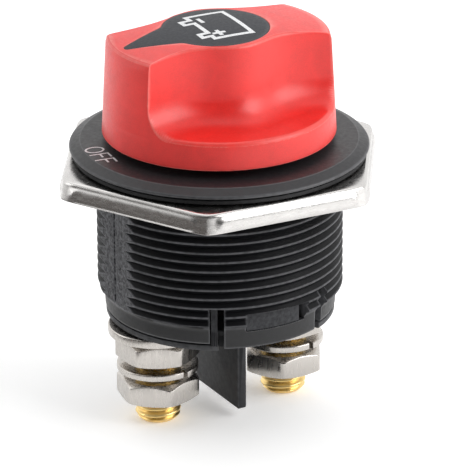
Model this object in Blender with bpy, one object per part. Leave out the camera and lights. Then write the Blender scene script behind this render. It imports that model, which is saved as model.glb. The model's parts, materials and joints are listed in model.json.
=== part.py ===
"""Panel-mount rotary battery switch: red knob, threaded barrel, panel nut and two M8 terminals.

Z = 0 is the panel's front face, under the flange gasket, and +Z runs up the knob's axis.
The two terminal studs stand at -X (left) and +X (right). The knob points to -X when it is off.
Turning the knob 90 degrees clockwise drives the contact bridge down on to the studs' contacts.
"""

import math

import bmesh
import bpy
from mathutils import Vector

MM = 0.001
GAP = 0.3 * MM

# Flange and threaded barrel of the housing
FLANGE_RADIUS = 26.0 * MM
FLANGE_TOP = 2.5 * MM
FLANGE_BOTTOM = 1.0 * MM
FLANGE_CHAMFER = 2.0 * MM
FLANGE_CHAMFER_DROP = 1.0 * MM
GASKET_THICKNESS = 0.7 * MM
GASKET_RADIUS = 25.6 * MM
THREAD_RADIUS = 21.45 * MM
THREAD_ROOT = 20.8 * MM
THREAD_PITCH = 1.7 * MM
THREAD_TURNS = 14
THREAD_START = -0.9 * MM
BARREL_FLAT = 20.5 * MM
SKIRT_RADIUS = 20.25 * MM
SKIRT_BOTTOM = -28.0 * MM
CAVITY_RADIUS = 18.3 * MM
DECK_BOTTOM = -2.0 * MM
SPINDLE_BORE = 5.0 * MM
TONGUE_BOTTOM = -28.9 * MM
TONGUE_HALF_ANGLE = 28
TONGUE_SLOTS = ((-34.0, -26.9), (25.2, 30.8))
SLOT_TOP = -21.0 * MM
WINDOW_TOP = -22.05 * MM
WINDOW_BOTTOM = -25.95 * MM
WINDOW_ANGLES = (-16.6, 16.8)
STOP_PEG_ANGLE = 8
STOP_RADII = (12.8 * MM, 14.2 * MM)
STOP_PEG_BOTTOM = -4.1 * MM

# Knob
KNOB_BASE = 3.9 * MM
KNOB_BASE_RADIUS = 20.3 * MM
KNOB_TOP_RADIUS = 19.25 * MM
CROWN_TOP = 23.05 * MM
CROWN_SAG = (4.6, 5.2)
LEDGE = 9.0 * MM
SCOOP_FILLET = 5.0 * MM
BLADE_MIDDLE_HALF = 10.3 * MM
BLADE_WAIST_HALF = 7.1 * MM
BLADE_END_HALF = 8.5 * MM
BLADE_END_X = 16.8 * MM
BLADE_BULGE = 6.4 * MM
BLADE_CORNER = 27
CORNER_BLEND = 1.4 * MM
EDGE_ROUND = 0.8 * MM
KNOB_WALL = 2.2 * MM
KNOB_CEILING = 6.6 * MM
HUB_RADIUS = 6.5 * MM
SOCKET_HALF = 3.5 * MM
CORE_X = (8.5 * MM, 15.0 * MM)
CORE_HALF_Y = 4.6 * MM
CORE_TOP = 18.0 * MM
KNOB_INDEX = -2.5

# Badge let into the crown
BADGE_RADIUS = 9.3 * MM
BADGE_CENTRE_X = -0.6 * MM
BADGE_SHOULDER_X = -8.68 * MM
BADGE_FLANK = ((-11.5 * MM, 3.35 * MM), (-14.2 * MM, 2.1 * MM), (-17.2 * MM, 0.9 * MM))
BADGE_TIP_X = -17.8 * MM
BADGE_RECESS = 19.9 * MM

# Spindle, screw and cam rotor
SPINDLE_RADIUS = 4.7 * MM
SPINDLE_SHOULDER = 3.6 * MM
SPINDLE_TOP = 15.0 * MM
SPINDLE_SQUARE = 3.2 * MM
O_RING_GROOVE = (-0.6 * MM, 1.0 * MM, 3.5 * MM)
O_RING = (4.25 * MM, 0.45 * MM)
COLLAR_RADIUS = 7.0 * MM
COLLAR = (-4.6 * MM, -3.4 * MM)
ROTOR_SQUARE = 3.0 * MM
SPINDLE_END = -8.6 * MM
CLIP_GROOVE = (-7.9 * MM, -7.0 * MM, 2.3 * MM)
CLIP = (-7.7 * MM, -7.2 * MM, 5.2 * MM)
SCREW_RADIUS = 2.0 * MM
SCREW_HEAD_RADIUS = 3.6 * MM
SCREW_HEAD = (17.4 * MM, 19.4 * MM)
SCREW_END = 8.0 * MM
SCREW_WEB_BOTTOM = 15.3 * MM
ROTOR_TOP = -3.4 * MM
ROTOR_DISC_BOTTOM = -5.4 * MM
ROTOR_HUB_BOTTOM = -6.8 * MM
ROTOR_RADIUS = 15.2 * MM
CAM_RADII = (9.0 * MM, 14.4 * MM)

# Cam drive: the knob's quarter turn lowers the carrier by CONTACT_TRAVEL
TURN = 90
CONTACT_TRAVEL = 3.0 * MM
LUG_ANGLES = (60, 240)
LUG_HALF_ANGLE = 10
CAM_LOW = -9.4 * MM
CAM_CLEARANCE = 0.4 * MM

# Contact carrier and bridge, with the switch off
PLATE = (-11.6 * MM, -9.8 * MM)
PLATE_RADIUS = 17.2 * MM
POST_RADIUS = 2.4 * MM
POST_BOTTOM = -19.2 * MM
CHEEK = (3.0 * MM, 4.4 * MM, 5.6 * MM, -16.6 * MM)
BRIDGE = (-17.1 * MM, -15.1 * MM)
BRIDGE_HALF_LENGTH = 16.9 * MM
BRIDGE_HALF_WIDTH = 4.0 * MM
CONTACT_RADIUS = 2.6 * MM
CONTACT_THICKNESS = 1.0 * MM
RETAINER = (-18.2 * MM, -17.4 * MM, 4.5 * MM)
CONTACT_SPRING = (3.4 * MM, 0.4 * MM, 2.5)

# Base cover
FLOOR = (-29.3 * MM, -26.3 * MM)
COVER_RIM_RADIUS = 20.0 * MM
COVER_RIM_TOP = -28.3 * MM
NOTCH_HALF_ANGLE = 29.8
PLUG_RADIUS = 18.0 * MM
ARM_RADII = (16.3 * MM, 17.9 * MM)
ARM_TOP = -22.0 * MM
ARM_HALF_ANGLE = 13
HOOK_ANGLES = (-15.75, 13.2)
HOOK_RADIUS = 20.2 * MM
SLOT_RIB_ANGLES = (-33.15, -30.2)
SLOT_RIB_RADIUS = 19.95 * MM
FIN_HALF_WIDTH = 7.8 * MM
FIN_THICKNESS = 1.75 * MM
FIN_BOTTOM = -46.1 * MM
GUIDE_Y = 12.0 * MM
GUIDE_RADIUS = 1.8 * MM
GUIDE_TOP = -7.4 * MM
RETURN_SPRING = (2.7 * MM, 0.35 * MM, 6.5)
RIB = (8.0 * MM, 16.3 * MM, 5.4 * MM, 6.6 * MM, -24.6 * MM)

# Terminals
STUD_X = 12.6 * MM
STUD_RADIUS = 4.0 * MM
STUD_TIP = -47.6 * MM
STUD_CHAMFER = 0.9 * MM
STUD_HEAD = (-26.0 * MM, -23.0 * MM, 6.0 * MM)
STUD_HEAD_HALF = 5.0 * MM
SEAL = (-26.9 * MM, -26.3 * MM, 4.3 * MM, 5.0 * MM)
NUT_ACROSS_FLATS = 13.0 * MM
NUT_HEIGHT = 4.1 * MM
WASHER = (-31.3 * MM, -29.7 * MM, 8.6 * MM)
TERMINAL_NUT_TOP = -31.95 * MM
SPRING_WASHER = (-38.4 * MM, -36.9 * MM, 4.4 * MM, 7.2 * MM)
CABLE_NUT_TOP = -39.3 * MM
NUT_TURN = {
    "terminal_nut_left": 34.3,
    "terminal_nut_right": 3.0,
    "cable_nut_left": 20.3,
    "cable_nut_right": 1.3,
}

# Panel nut, pressed from sheet with its rim turned down
PANEL_NUT_TOP = -0.3 * MM
PANEL_NUT_BOTTOM = -3.75 * MM
PANEL_NUT_SHEET = 1.0 * MM
PANEL_NUT_BORE = 21.75 * MM
PANEL_NUT_HALF_FLATS = 26.1 * MM
PANEL_NUT_FLARE = 0.4 * MM
PANEL_NUT_BEND = 0.8 * MM
PANEL_NUT_TURN = -2.7


def clear_scene():
    for obj in list(bpy.data.objects):
        bpy.data.objects.remove(obj)


def material(name, colour, roughness, metallic=0.0):
    """A Principled material of one colour."""
    made = bpy.data.materials.new(name)
    made.use_nodes = True
    shader = made.node_tree.nodes["Principled BSDF"]
    shader.inputs["Base Color"].default_value = (*colour, 1.0)
    shader.inputs["Roughness"].default_value = roughness
    shader.inputs["Metallic"].default_value = metallic
    return made


def empty(name, location=(0.0, 0.0, 0.0), parent=None):
    obj = bpy.data.objects.new(name, None)
    obj.location = location
    obj.parent = parent
    bpy.context.scene.collection.objects.link(obj)
    return obj


def to_mesh(name, bm, surface):
    """Closes a bmesh into a mesh with outward faces, smooth except at its sharp edges."""
    bmesh.ops.remove_doubles(bm, verts=bm.verts, dist=1e-7)
    bmesh.ops.recalc_face_normals(bm, faces=bm.faces)
    mesh = bpy.data.meshes.new(name)
    bm.to_mesh(mesh)
    bm.free()
    mesh.materials.append(surface)
    mesh.shade_smooth()
    mesh.set_sharp_from_angle(angle=math.radians(32))
    return mesh


def place(name, mesh, parent=None, location=(0.0, 0.0, 0.0), turn=0.0):
    obj = bpy.data.objects.new(name, mesh)
    obj.location = location
    obj.rotation_euler = (0.0, 0.0, math.radians(turn))
    obj.parent = parent
    bpy.context.scene.collection.objects.link(obj)
    return obj


def loft(bm, rings, ring_of_rings=False):
    """Joins closed rings of points with quads, capped at both ends unless the last ring meets the first."""
    loops = [[bm.verts.new(point) for point in ring] for ring in rings]
    pairs = list(zip(loops, loops[1:]))
    if ring_of_rings:
        pairs.append((loops[-1], loops[0]))
    for lower, upper in pairs:
        count = len(lower)
        for i in range(count):
            j = (i + 1) % count
            bm.faces.new((lower[i], lower[j], upper[j], upper[i]))
    if not ring_of_rings:
        bm.faces.new(loops[0])
        bm.faces.new(loops[-1])


def circle(radius, z, segments, centre=(0.0, 0.0)):
    step = 2 * math.pi / segments
    return [
        Vector((centre[0] + radius * math.cos(i * step), centre[1] + radius * math.sin(i * step), z))
        for i in range(segments)
    ]


def turned(profile, segments, bored=False, centre=(0.0, 0.0)):
    """A turned solid from (radius, z) points: capped discs at both ends, or bored right through."""
    bm = bmesh.new()
    loft(bm, [circle(radius, z, segments, centre) for radius, z in profile], bored)
    return bm


def ring(inner, outer, bottom, top, segments):
    """A flat washer of rectangular section."""
    profile = [(inner, top), (outer, top), (outer, bottom), (inner, bottom)]
    return turned(profile, segments, bored=True)


def box(low, high):
    bm = bmesh.new()
    corners = [(low[0], low[1]), (high[0], low[1]), (high[0], high[1]), (low[0], high[1])]
    loft(bm, [[Vector((x, y, z)) for x, y in corners] for z in (low[2], high[2])])
    return bm


def sector(radii, angles, bottom, top, steps=6):
    """Part of a ring between two angles in degrees; bottom and top may be functions of the angle."""

    def height(value, angle):
        return value(angle) if callable(value) else value

    sections = []
    for i in range(steps + 1):
        angle = angles[0] + (angles[1] - angles[0]) * i / steps
        cosine, sine = math.cos(math.radians(angle)), math.sin(math.radians(angle))
        low, high = height(bottom, angle), height(top, angle)
        corners = [(radii[0], low), (radii[1], low), (radii[1], high), (radii[0], high)]
        sections.append([Vector((r * cosine, r * sine, z)) for r, z in corners])
    bm = bmesh.new()
    loft(bm, sections)
    return bm


def prism(outline, bottom, top):
    bm = bmesh.new()
    loft(bm, [[Vector((x, y, z)) for x, y in outline] for z in (bottom, top)])
    return bm


def coil(mean_radius, wire_radius, turns, bottom, top, sides=5, steps_per_turn=10):
    """A round-wire compression spring standing between two heights."""
    sections = []
    low, high = bottom + wire_radius, top - wire_radius
    count = int(turns * steps_per_turn)
    for i in range(count + 1):
        angle = 2 * math.pi * turns * i / count
        outward = Vector((math.cos(angle), math.sin(angle), 0.0))
        centre = outward * mean_radius + Vector((0.0, 0.0, low + (high - low) * i / count))
        section = []
        for k in range(sides):
            around = 2 * math.pi * k / sides
            radial = math.cos(around) * outward + math.sin(around) * Vector((0.0, 0.0, 1.0))
            section.append(centre + wire_radius * radial)
        sections.append(section)
    bm = bmesh.new()
    loft(bm, sections)
    return bm


def combine(obj, operation, *tools):
    """Cuts or joins hidden tool shapes to an object with Boolean modifiers."""
    for bm in tools:
        number = len(obj.modifiers) + 1
        name = f"{obj.name}_tool_{number}"
        tool = place(name, to_mesh(name, bm, obj.data.materials[0]), obj.parent)
        tool.hide_render = True
        tool.display_type = "WIRE"
        modifier = obj.modifiers.new(f"{operation.lower()} {number}", "BOOLEAN")
        modifier.operation = operation
        modifier.solver = "EXACT"
        modifier.object = tool


def hexagon_radius(half_flats, angle):
    """Distance from a hexagon's centre to its edge, with a corner at angle 0."""
    within = (angle + 30) % 60 - 30
    return half_flats / math.cos(math.radians(30 - abs(within)))


# ---------------------------------------------------------------- housing and gasket


def beside(side, angles):
    """Two directions given from the middle of the front (-1) or back (1) tongue."""
    return (side * 90 + angles[0], side * 90 + angles[1])


def thread_profile():
    """Ridges of the barrel's thread, from its top to its end."""
    points = []
    for i in range(THREAD_TURNS):
        top = THREAD_START - i * THREAD_PITCH
        points.append((THREAD_ROOT, top))
        points.append((THREAD_RADIUS, top - 0.5 * THREAD_PITCH))
    return points + [(THREAD_ROOT, THREAD_START - THREAD_TURNS * THREAD_PITCH)]


def build_housing(surface, root):
    shoulder = FLANGE_TOP - FLANGE_CHAMFER_DROP
    profile = [
        (SPINDLE_BORE, FLANGE_TOP),
        (FLANGE_RADIUS - FLANGE_CHAMFER, FLANGE_TOP),
        (FLANGE_RADIUS, shoulder),
        (FLANGE_RADIUS, FLANGE_BOTTOM),
        (THREAD_ROOT, FLANGE_BOTTOM),
    ]
    profile += thread_profile()
    profile += [
        (SKIRT_RADIUS, THREAD_START - THREAD_TURNS * THREAD_PITCH - 0.4 * MM),
        (SKIRT_RADIUS, TONGUE_BOTTOM),
        (CAVITY_RADIUS, TONGUE_BOTTOM),
        (CAVITY_RADIUS, DECK_BOTTOM),
        (SPINDLE_BORE, DECK_BOTTOM),
    ]
    housing = place("housing", to_mesh("housing", turned(profile, 44, bored=True), surface), root)
    beyond = FLANGE_RADIUS + 2 * MM
    thread_end = THREAD_START - THREAD_TURNS * THREAD_PITCH
    for side in (-1, 1):
        low_x, high_x = sorted((side * BARREL_FLAT, side * beyond))
        flat = box((low_x, -beyond, thread_end - 2 * MM), (high_x, beyond, -GAP))
        skirt_angles = (-side * 90 + TONGUE_HALF_ANGLE, -side * 90 + 180 - TONGUE_HALF_ANGLE)
        skirt_radii = (CAVITY_RADIUS - MM, SKIRT_RADIUS + MM)
        step = sector(skirt_radii, skirt_angles, TONGUE_BOTTOM - MM, SKIRT_BOTTOM, 10)
        window = sector(skirt_radii, beside(side, WINDOW_ANGLES), WINDOW_BOTTOM, WINDOW_TOP, 8)
        slots = [
            sector(skirt_radii, beside(side, angles), TONGUE_BOTTOM - MM, SLOT_TOP, 2)
            for angles in TONGUE_SLOTS
        ]
        combine(housing, "DIFFERENCE", flat, step, window, *slots)
    peg_angles = (KNOB_INDEX - 0.5 * STOP_PEG_ANGLE, KNOB_INDEX + 0.5 * STOP_PEG_ANGLE)
    combine(housing, "UNION", sector(STOP_RADII, peg_angles, STOP_PEG_BOTTOM, DECK_BOTTOM + MM, 3))


def build_gasket(surface, root):
    bm = ring(THREAD_RADIUS + GAP, GASKET_RADIUS, 0.0, GASKET_THICKNESS, 44)
    place("flange_gasket", to_mesh("flange_gasket", bm, surface), root)


# ---------------------------------------------------------------- knob


def crown_height(x, y):
    """The knob's gently domed top."""
    return CROWN_TOP - CROWN_SAG[0] * x * x - CROWN_SAG[1] * y * y


def blade_half_width(x):
    """Half the blade's thickness: full in the middle, waisted each side and flared at its ends."""
    bulge = (BLADE_MIDDLE_HALF - BLADE_WAIST_HALF) * math.exp(-((x / BLADE_BULGE) ** 2))
    flare = (BLADE_END_HALF - BLADE_WAIST_HALF) * (x / BLADE_END_X) ** 4
    return BLADE_WAIST_HALF + bulge + flare


def wall_distance(angle, offset):
    """Distance along a ray from the axis to the blade's side wall, moved out by offset."""
    cosine, sine = math.cos(angle), abs(math.sin(angle))
    low, high = 0.0, 60 * MM
    for _ in range(30):
        middle = 0.5 * (low + high)
        if middle * sine > blade_half_width(min(abs(middle * cosine), 20 * MM)) + offset:
            high = middle
        else:
            low = middle
    return low


def soft_minimum(a, b, blend):
    overlap = max(blend - abs(a - b), 0.0) / blend
    return min(a, b) - 0.25 * blend * overlap * overlap


def knob_side_radius(z):
    """The knob's tapered round side."""
    share = (z - KNOB_BASE) / (CROWN_TOP - KNOB_BASE)
    return KNOB_BASE_RADIUS + (KNOB_TOP_RADIUS - KNOB_BASE_RADIUS) * share


def knob_angles():
    """Directions round the knob, closest together where the scoops run out at the blade's ends."""
    quarter = [BLADE_CORNER * (1 - (1 - i / 4) ** 1.5) for i in range(4)]
    quarter += [BLADE_CORNER + (90 - BLADE_CORNER) * (i / 14) ** 1.5 for i in range(14)]
    half = quarter + [180 - angle for angle in reversed(quarter[1:])]
    half.insert(len(quarter), 90)
    return [math.radians(angle) for angle in half + [angle + 180 for angle in half]]


def knob_ring(z, scoop, inset=0.0, from_crown=None):
    """One level of the knob: the blade's outline, let out by scoop and drawn in by inset."""
    points = []
    for angle in knob_angles():
        side = knob_side_radius(z)
        radius = soft_minimum(side, wall_distance(angle, scoop), CORNER_BLEND) - inset
        x, y = radius * math.cos(angle), radius * math.sin(angle)
        height = z if from_crown is None else crown_height(x, y) - from_crown
        points.append(Vector((x, y, height)))
    return points


def build_knob(surface, axis):
    rings = []
    crown_edge = ((12 * MM, 0.0), (5 * MM, 0.0), (EDGE_ROUND, 0.0), (0.25 * MM, 0.25 * MM), (0.0, EDGE_ROUND))
    for inset, drop in crown_edge:
        share = 1 - inset / (KNOB_TOP_RADIUS - 0.5 * MM) if inset > EDGE_ROUND else 1.0
        level = knob_ring(CROWN_TOP, 0.0, 0.0 if inset > EDGE_ROUND else inset, drop)
        if share < 1.0:
            drawn_in = [(p.x * share, p.y * share) for p in level]
            level = [Vector((x, y, crown_height(x, y))) for x, y in drawn_in]
        rings.append(level)
    fillet_top = LEDGE + SCOOP_FILLET
    rings.append(knob_ring(fillet_top, 0.0))
    for step in range(1, 5):
        turn = 0.5 * math.pi * step / 4
        scoop = SCOOP_FILLET * (1 - math.cos(turn))
        rings.append(knob_ring(fillet_top - SCOOP_FILLET * math.sin(turn), scoop))
    for scoop, z in ((7.5 * MM, 8.97 * MM), (10.5 * MM, 8.94 * MM), (25 * MM, 8.9 * MM)):
        rings.append(knob_ring(z, scoop))
    foot = [Vector((math.cos(angle), math.sin(angle), 0.0)) * KNOB_BASE_RADIUS for angle in knob_angles()]
    rings.append([point + Vector((0.0, 0.0, KNOB_BASE)) for point in foot])
    bm = bmesh.new()
    loft(bm, rings)
    knob = place("knob", to_mesh("knob", bm, surface), axis)
    below = KNOB_BASE - MM
    cavity_profile = [
        (HUB_RADIUS, KNOB_CEILING),
        (KNOB_BASE_RADIUS - KNOB_WALL, KNOB_CEILING),
        (KNOB_BASE_RADIUS - KNOB_WALL, below),
        (HUB_RADIUS, below),
    ]
    socket = box((-SOCKET_HALF, -SOCKET_HALF, below), (SOCKET_HALF, SOCKET_HALF, SCREW_WEB_BOTTOM))
    screw_hole = turned([(SCREW_RADIUS + GAP, SCREW_WEB_BOTTOM - MM), (SCREW_RADIUS + GAP, BADGE_RECESS)], 20)
    head_seat = SCREW_HEAD[0] - GAP
    bore_radius = SCREW_HEAD_RADIUS + 0.4 * MM
    counterbore = turned([(bore_radius, head_seat), (bore_radius, CROWN_TOP)], 24)
    recess = prism(badge_outline(GAP), BADGE_RECESS, CROWN_TOP + MM)
    cores = [
        box((low, -CORE_HALF_Y, KNOB_CEILING - MM), (high, CORE_HALF_Y, CORE_TOP))
        for low, high in (CORE_X, (-CORE_X[1], -CORE_X[0]))
    ]
    cavity = turned(cavity_profile, 36, bored=True)
    combine(knob, "DIFFERENCE", cavity, socket, screw_hole, counterbore, recess, *cores)


def badge_outline(margin=0.0):
    """A round disc with a pointer that tapers to the knob's off end."""
    radius = BADGE_RADIUS + margin
    spread = math.degrees(math.acos((BADGE_CENTRE_X - BADGE_SHOULDER_X) / BADGE_RADIUS))
    points = []
    steps = 28
    for i in range(steps + 1):
        angle = math.radians(-180 + spread + (360 - 2 * spread) * i / steps)
        points.append((BADGE_CENTRE_X + radius * math.cos(angle), radius * math.sin(angle)))
    upper = [(x - 0.3 * margin, y + margin) for x, y in BADGE_FLANK]
    lower = [(x, -y) for x, y in reversed(upper)]
    return points + upper + [(BADGE_TIP_X - margin, 0.0)] + lower


def build_badge(surface, axis):
    outline = badge_outline()
    bm = bmesh.new()
    base = [Vector((x, y, BADGE_RECESS + GAP)) for x, y in outline]
    top = [Vector((x, y, crown_height(x, y))) for x, y in outline]
    inner = [Vector((0.5 * x, 0.5 * y, crown_height(0.5 * x, 0.5 * y))) for x, y in outline]
    loft(bm, [base, top, inner])
    place("knob_badge", to_mesh("knob_badge", bm, surface), axis)


def build_knob_screw(surface, axis):
    profile = [
        (SCREW_RADIUS, SCREW_END),
        (SCREW_RADIUS, SCREW_HEAD[0]),
        (SCREW_HEAD_RADIUS, SCREW_HEAD[0]),
        (SCREW_HEAD_RADIUS, SCREW_HEAD[1] - 0.5 * MM),
        (SCREW_HEAD_RADIUS - 0.8 * MM, SCREW_HEAD[1]),
    ]
    screw = place("knob_screw", to_mesh("knob_screw", turned(profile, 20), surface), axis)
    arms = [
        box((-long, -short, SCREW_HEAD[1] - 1.1 * MM), (long, short, SCREW_HEAD[1] + MM))
        for long, short in ((1.9 * MM, 0.4 * MM), (0.4 * MM, 1.9 * MM))
    ]
    combine(screw, "DIFFERENCE", *arms)


# ---------------------------------------------------------------- spindle and cam


def build_spindle(surface, axis):
    square_corner = SPINDLE_SQUARE * math.sqrt(2)
    rotor_corner = ROTOR_SQUARE * math.sqrt(2)
    groove_low, groove_high, groove_radius = O_RING_GROOVE
    clip_low, clip_high, clip_radius = CLIP_GROOVE
    profile = [
        (square_corner, SPINDLE_TOP),
        (square_corner, SPINDLE_SHOULDER),
        (SPINDLE_RADIUS, SPINDLE_SHOULDER),
        (SPINDLE_RADIUS, groove_high),
        (groove_radius, groove_high),
        (groove_radius, groove_low),
        (SPINDLE_RADIUS, groove_low),
        (SPINDLE_RADIUS, COLLAR[1]),
        (COLLAR_RADIUS, COLLAR[1]),
        (COLLAR_RADIUS, COLLAR[0]),
        (rotor_corner, COLLAR[0]),
        (rotor_corner, ROTOR_HUB_BOTTOM - 0.1 * MM),
        (ROTOR_SQUARE - 0.1 * MM, ROTOR_HUB_BOTTOM - 0.1 * MM),
        (ROTOR_SQUARE - 0.1 * MM, clip_high),
        (clip_radius, clip_high),
        (clip_radius, clip_low),
        (ROTOR_SQUARE - 0.1 * MM, clip_low),
        (ROTOR_SQUARE - 0.1 * MM, SPINDLE_END),
    ]
    spindle = place("spindle", to_mesh("spindle", turned(profile, 20), surface), axis)
    wide = 12 * MM
    for half, bottom, top in (
        (SPINDLE_SQUARE, SPINDLE_SHOULDER, SPINDLE_TOP + MM),
        (ROTOR_SQUARE, ROTOR_HUB_BOTTOM - 0.5 * MM, COLLAR[0]),
    ):
        sides = [
            box((half, -wide, bottom), (wide, wide, top)),
            box((-wide, -wide, bottom), (-half, wide, top)),
            box((-wide, half, bottom), (wide, wide, top)),
            box((-wide, -wide, bottom), (wide, -half, top)),
        ]
        combine(spindle, "DIFFERENCE", *sides)
    tapped = turned([(SCREW_RADIUS + GAP, SCREW_END - MM), (SCREW_RADIUS + GAP, SPINDLE_TOP + MM)], 20)
    combine(spindle, "DIFFERENCE", tapped)


def build_o_ring(surface, axis):
    major, minor = O_RING
    middle = 0.5 * (O_RING_GROOVE[0] + O_RING_GROOVE[1])
    steps = 6
    profile = []
    for i in range(steps):
        angle = -2 * math.pi * i / steps
        profile.append((major + minor * math.cos(angle), middle + minor * math.sin(angle)))
    place("spindle_o_ring", to_mesh("spindle_o_ring", turned(profile, 24, bored=True), surface), axis)


def build_thrust_washer(surface, root):
    bm = ring(SPINDLE_RADIUS + GAP, COLLAR_RADIUS + 0.4 * MM, COLLAR[1] + GAP, DECK_BOTTOM - GAP, 24)
    place("thrust_washer", to_mesh("thrust_washer", bm, surface), root)


def build_retaining_clip(surface, axis):
    bottom, top, outer = CLIP
    bm = sector((CLIP_GROOVE[2] + GAP, outer), (35, 325), bottom, top, 14)
    place("retaining_clip", to_mesh("retaining_clip", bm, surface), axis)


def cam_height(angle, lug_angle):
    """The carrier's ramp: it rises clockwise, so a clockwise lug pushes the carrier down."""
    return CAM_LOW + CONTACT_TRAVEL * (lug_angle - angle) / TURN


def build_cam_rotor(surface, axis):
    profile = [
        (COLLAR_RADIUS + 0.4 * MM, ROTOR_TOP),
        (ROTOR_RADIUS, ROTOR_TOP),
        (ROTOR_RADIUS, ROTOR_DISC_BOTTOM),
        (8.0 * MM, ROTOR_DISC_BOTTOM),
        (8.0 * MM, ROTOR_HUB_BOTTOM),
        (2.0 * MM, ROTOR_HUB_BOTTOM),
        (2.0 * MM, COLLAR[0] - GAP),
        (COLLAR_RADIUS + 0.4 * MM, COLLAR[0] - GAP),
    ]
    rotor = place("cam_rotor", to_mesh("cam_rotor", turned(profile, 36, bored=True), surface), axis)
    half = ROTOR_SQUARE + GAP
    combine(rotor, "DIFFERENCE", box((-half, -half, ROTOR_HUB_BOTTOM - MM), (half, half, COLLAR[0] + MM)))
    clearance = 0.5 * STOP_PEG_ANGLE + 2
    groove_radii = (STOP_RADII[0] - GAP, STOP_RADII[1] + GAP)
    groove = sector(groove_radii, (-clearance, TURN + clearance), STOP_PEG_BOTTOM - GAP, ROTOR_TOP + MM, 10)
    combine(rotor, "DIFFERENCE", groove)
    for lug_angle in LUG_ANGLES:
        angles = (lug_angle - LUG_HALF_ANGLE, lug_angle + LUG_HALF_ANGLE)

        def lug_bottom(angle, middle=lug_angle):
            return cam_height(angle, middle) + CAM_CLEARANCE

        combine(rotor, "UNION", sector(CAM_RADII, angles, lug_bottom, ROTOR_DISC_BOTTOM + 0.5 * MM, 4))


# ---------------------------------------------------------------- contact carrier and bridge


def build_carrier(surface, guide):
    profile = [
        (PLATE_RADIUS, PLATE[1]),
        (PLATE_RADIUS, PLATE[0]),
        (POST_RADIUS, PLATE[0]),
        (POST_RADIUS, POST_BOTTOM),
    ]
    carrier = place("contact_carrier", to_mesh("contact_carrier", turned(profile, 36), surface), guide)
    for side in (-1, 1):
        centre = (0.0, side * GUIDE_Y)
        hole_radius = GUIDE_RADIUS + 0.4 * MM
        hole = turned([(hole_radius, PLATE[0] - MM), (hole_radius, PLATE[1] + MM)], 20, centre=centre)
        combine(carrier, "DIFFERENCE", hole)
        half_length, near, far, bottom = CHEEK
        low_y, high_y = sorted((side * near, side * far))
        cheek = box((-half_length, low_y, bottom), (half_length, high_y, PLATE[0] + 0.5 * MM))
        combine(carrier, "UNION", cheek)
    for lug_angle in LUG_ANGLES:
        start = lug_angle + KNOB_INDEX
        angles = (start - TURN - LUG_HALF_ANGLE, start + LUG_HALF_ANGLE)

        def ramp_top(angle, middle=start):
            return cam_height(angle, middle)

        combine(carrier, "UNION", sector(CAM_RADII, angles, PLATE[1] - 0.5 * MM, ramp_top, 12))


def build_bridge(copper, silver, guide):
    corner = 1.5 * MM
    half_x, half_y = BRIDGE_HALF_LENGTH, BRIDGE_HALF_WIDTH
    outline = []
    for x_sign, y_sign in ((1, -1), (1, 1), (-1, 1), (-1, -1)):
        ends = [(half_x, half_y - corner), (half_x - corner, half_y)]
        if x_sign * y_sign < 0:
            ends.reverse()
        outline += [(x_sign * x, y_sign * y) for x, y in ends]
    bridge = place("contact_bridge", to_mesh("contact_bridge", prism(outline, *BRIDGE), copper), guide)
    hole_radius = POST_RADIUS + 0.4 * MM
    combine(bridge, "DIFFERENCE", turned([(hole_radius, BRIDGE[0] - MM), (hole_radius, BRIDGE[1] + MM)], 24))
    top = BRIDGE[0] - GAP
    profile = [(CONTACT_RADIUS, top), (CONTACT_RADIUS, top - CONTACT_THICKNESS)]
    tip = to_mesh("moving_contact", turned(profile, 20), silver)
    for name, side in (("left", -1), ("right", 1)):
        place(f"moving_contact_{name}", tip, guide, (side * STUD_X, 0.0, 0.0))


def build_bridge_retainer(surface, guide):
    bottom, top, outer = RETAINER
    bm = ring(POST_RADIUS + GAP, outer, bottom, top, 24)
    place("bridge_retainer", to_mesh("bridge_retainer", bm, surface), guide)


def build_contact_spring(surface, guide):
    mean_radius, wire_radius, turns = CONTACT_SPRING
    bm = coil(mean_radius, wire_radius, turns, BRIDGE[1] + 0.5 * GAP, PLATE[0] - 0.5 * GAP)
    place("contact_spring", to_mesh("contact_spring", bm, surface), guide)


def build_return_springs(surface, root):
    mean_radius, wire_radius, turns = RETURN_SPRING
    length = PLATE[0] - FLOOR[1] - 2 * GAP
    spring = to_mesh("return_spring", coil(mean_radius, wire_radius, turns, 0.0, length), surface)
    for name, side in (("front", -1), ("back", 1)):
        place(f"return_spring_{name}", spring, root, (0.0, side * GUIDE_Y, FLOOR[1] + GAP))


# ---------------------------------------------------------------- base cover


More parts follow.
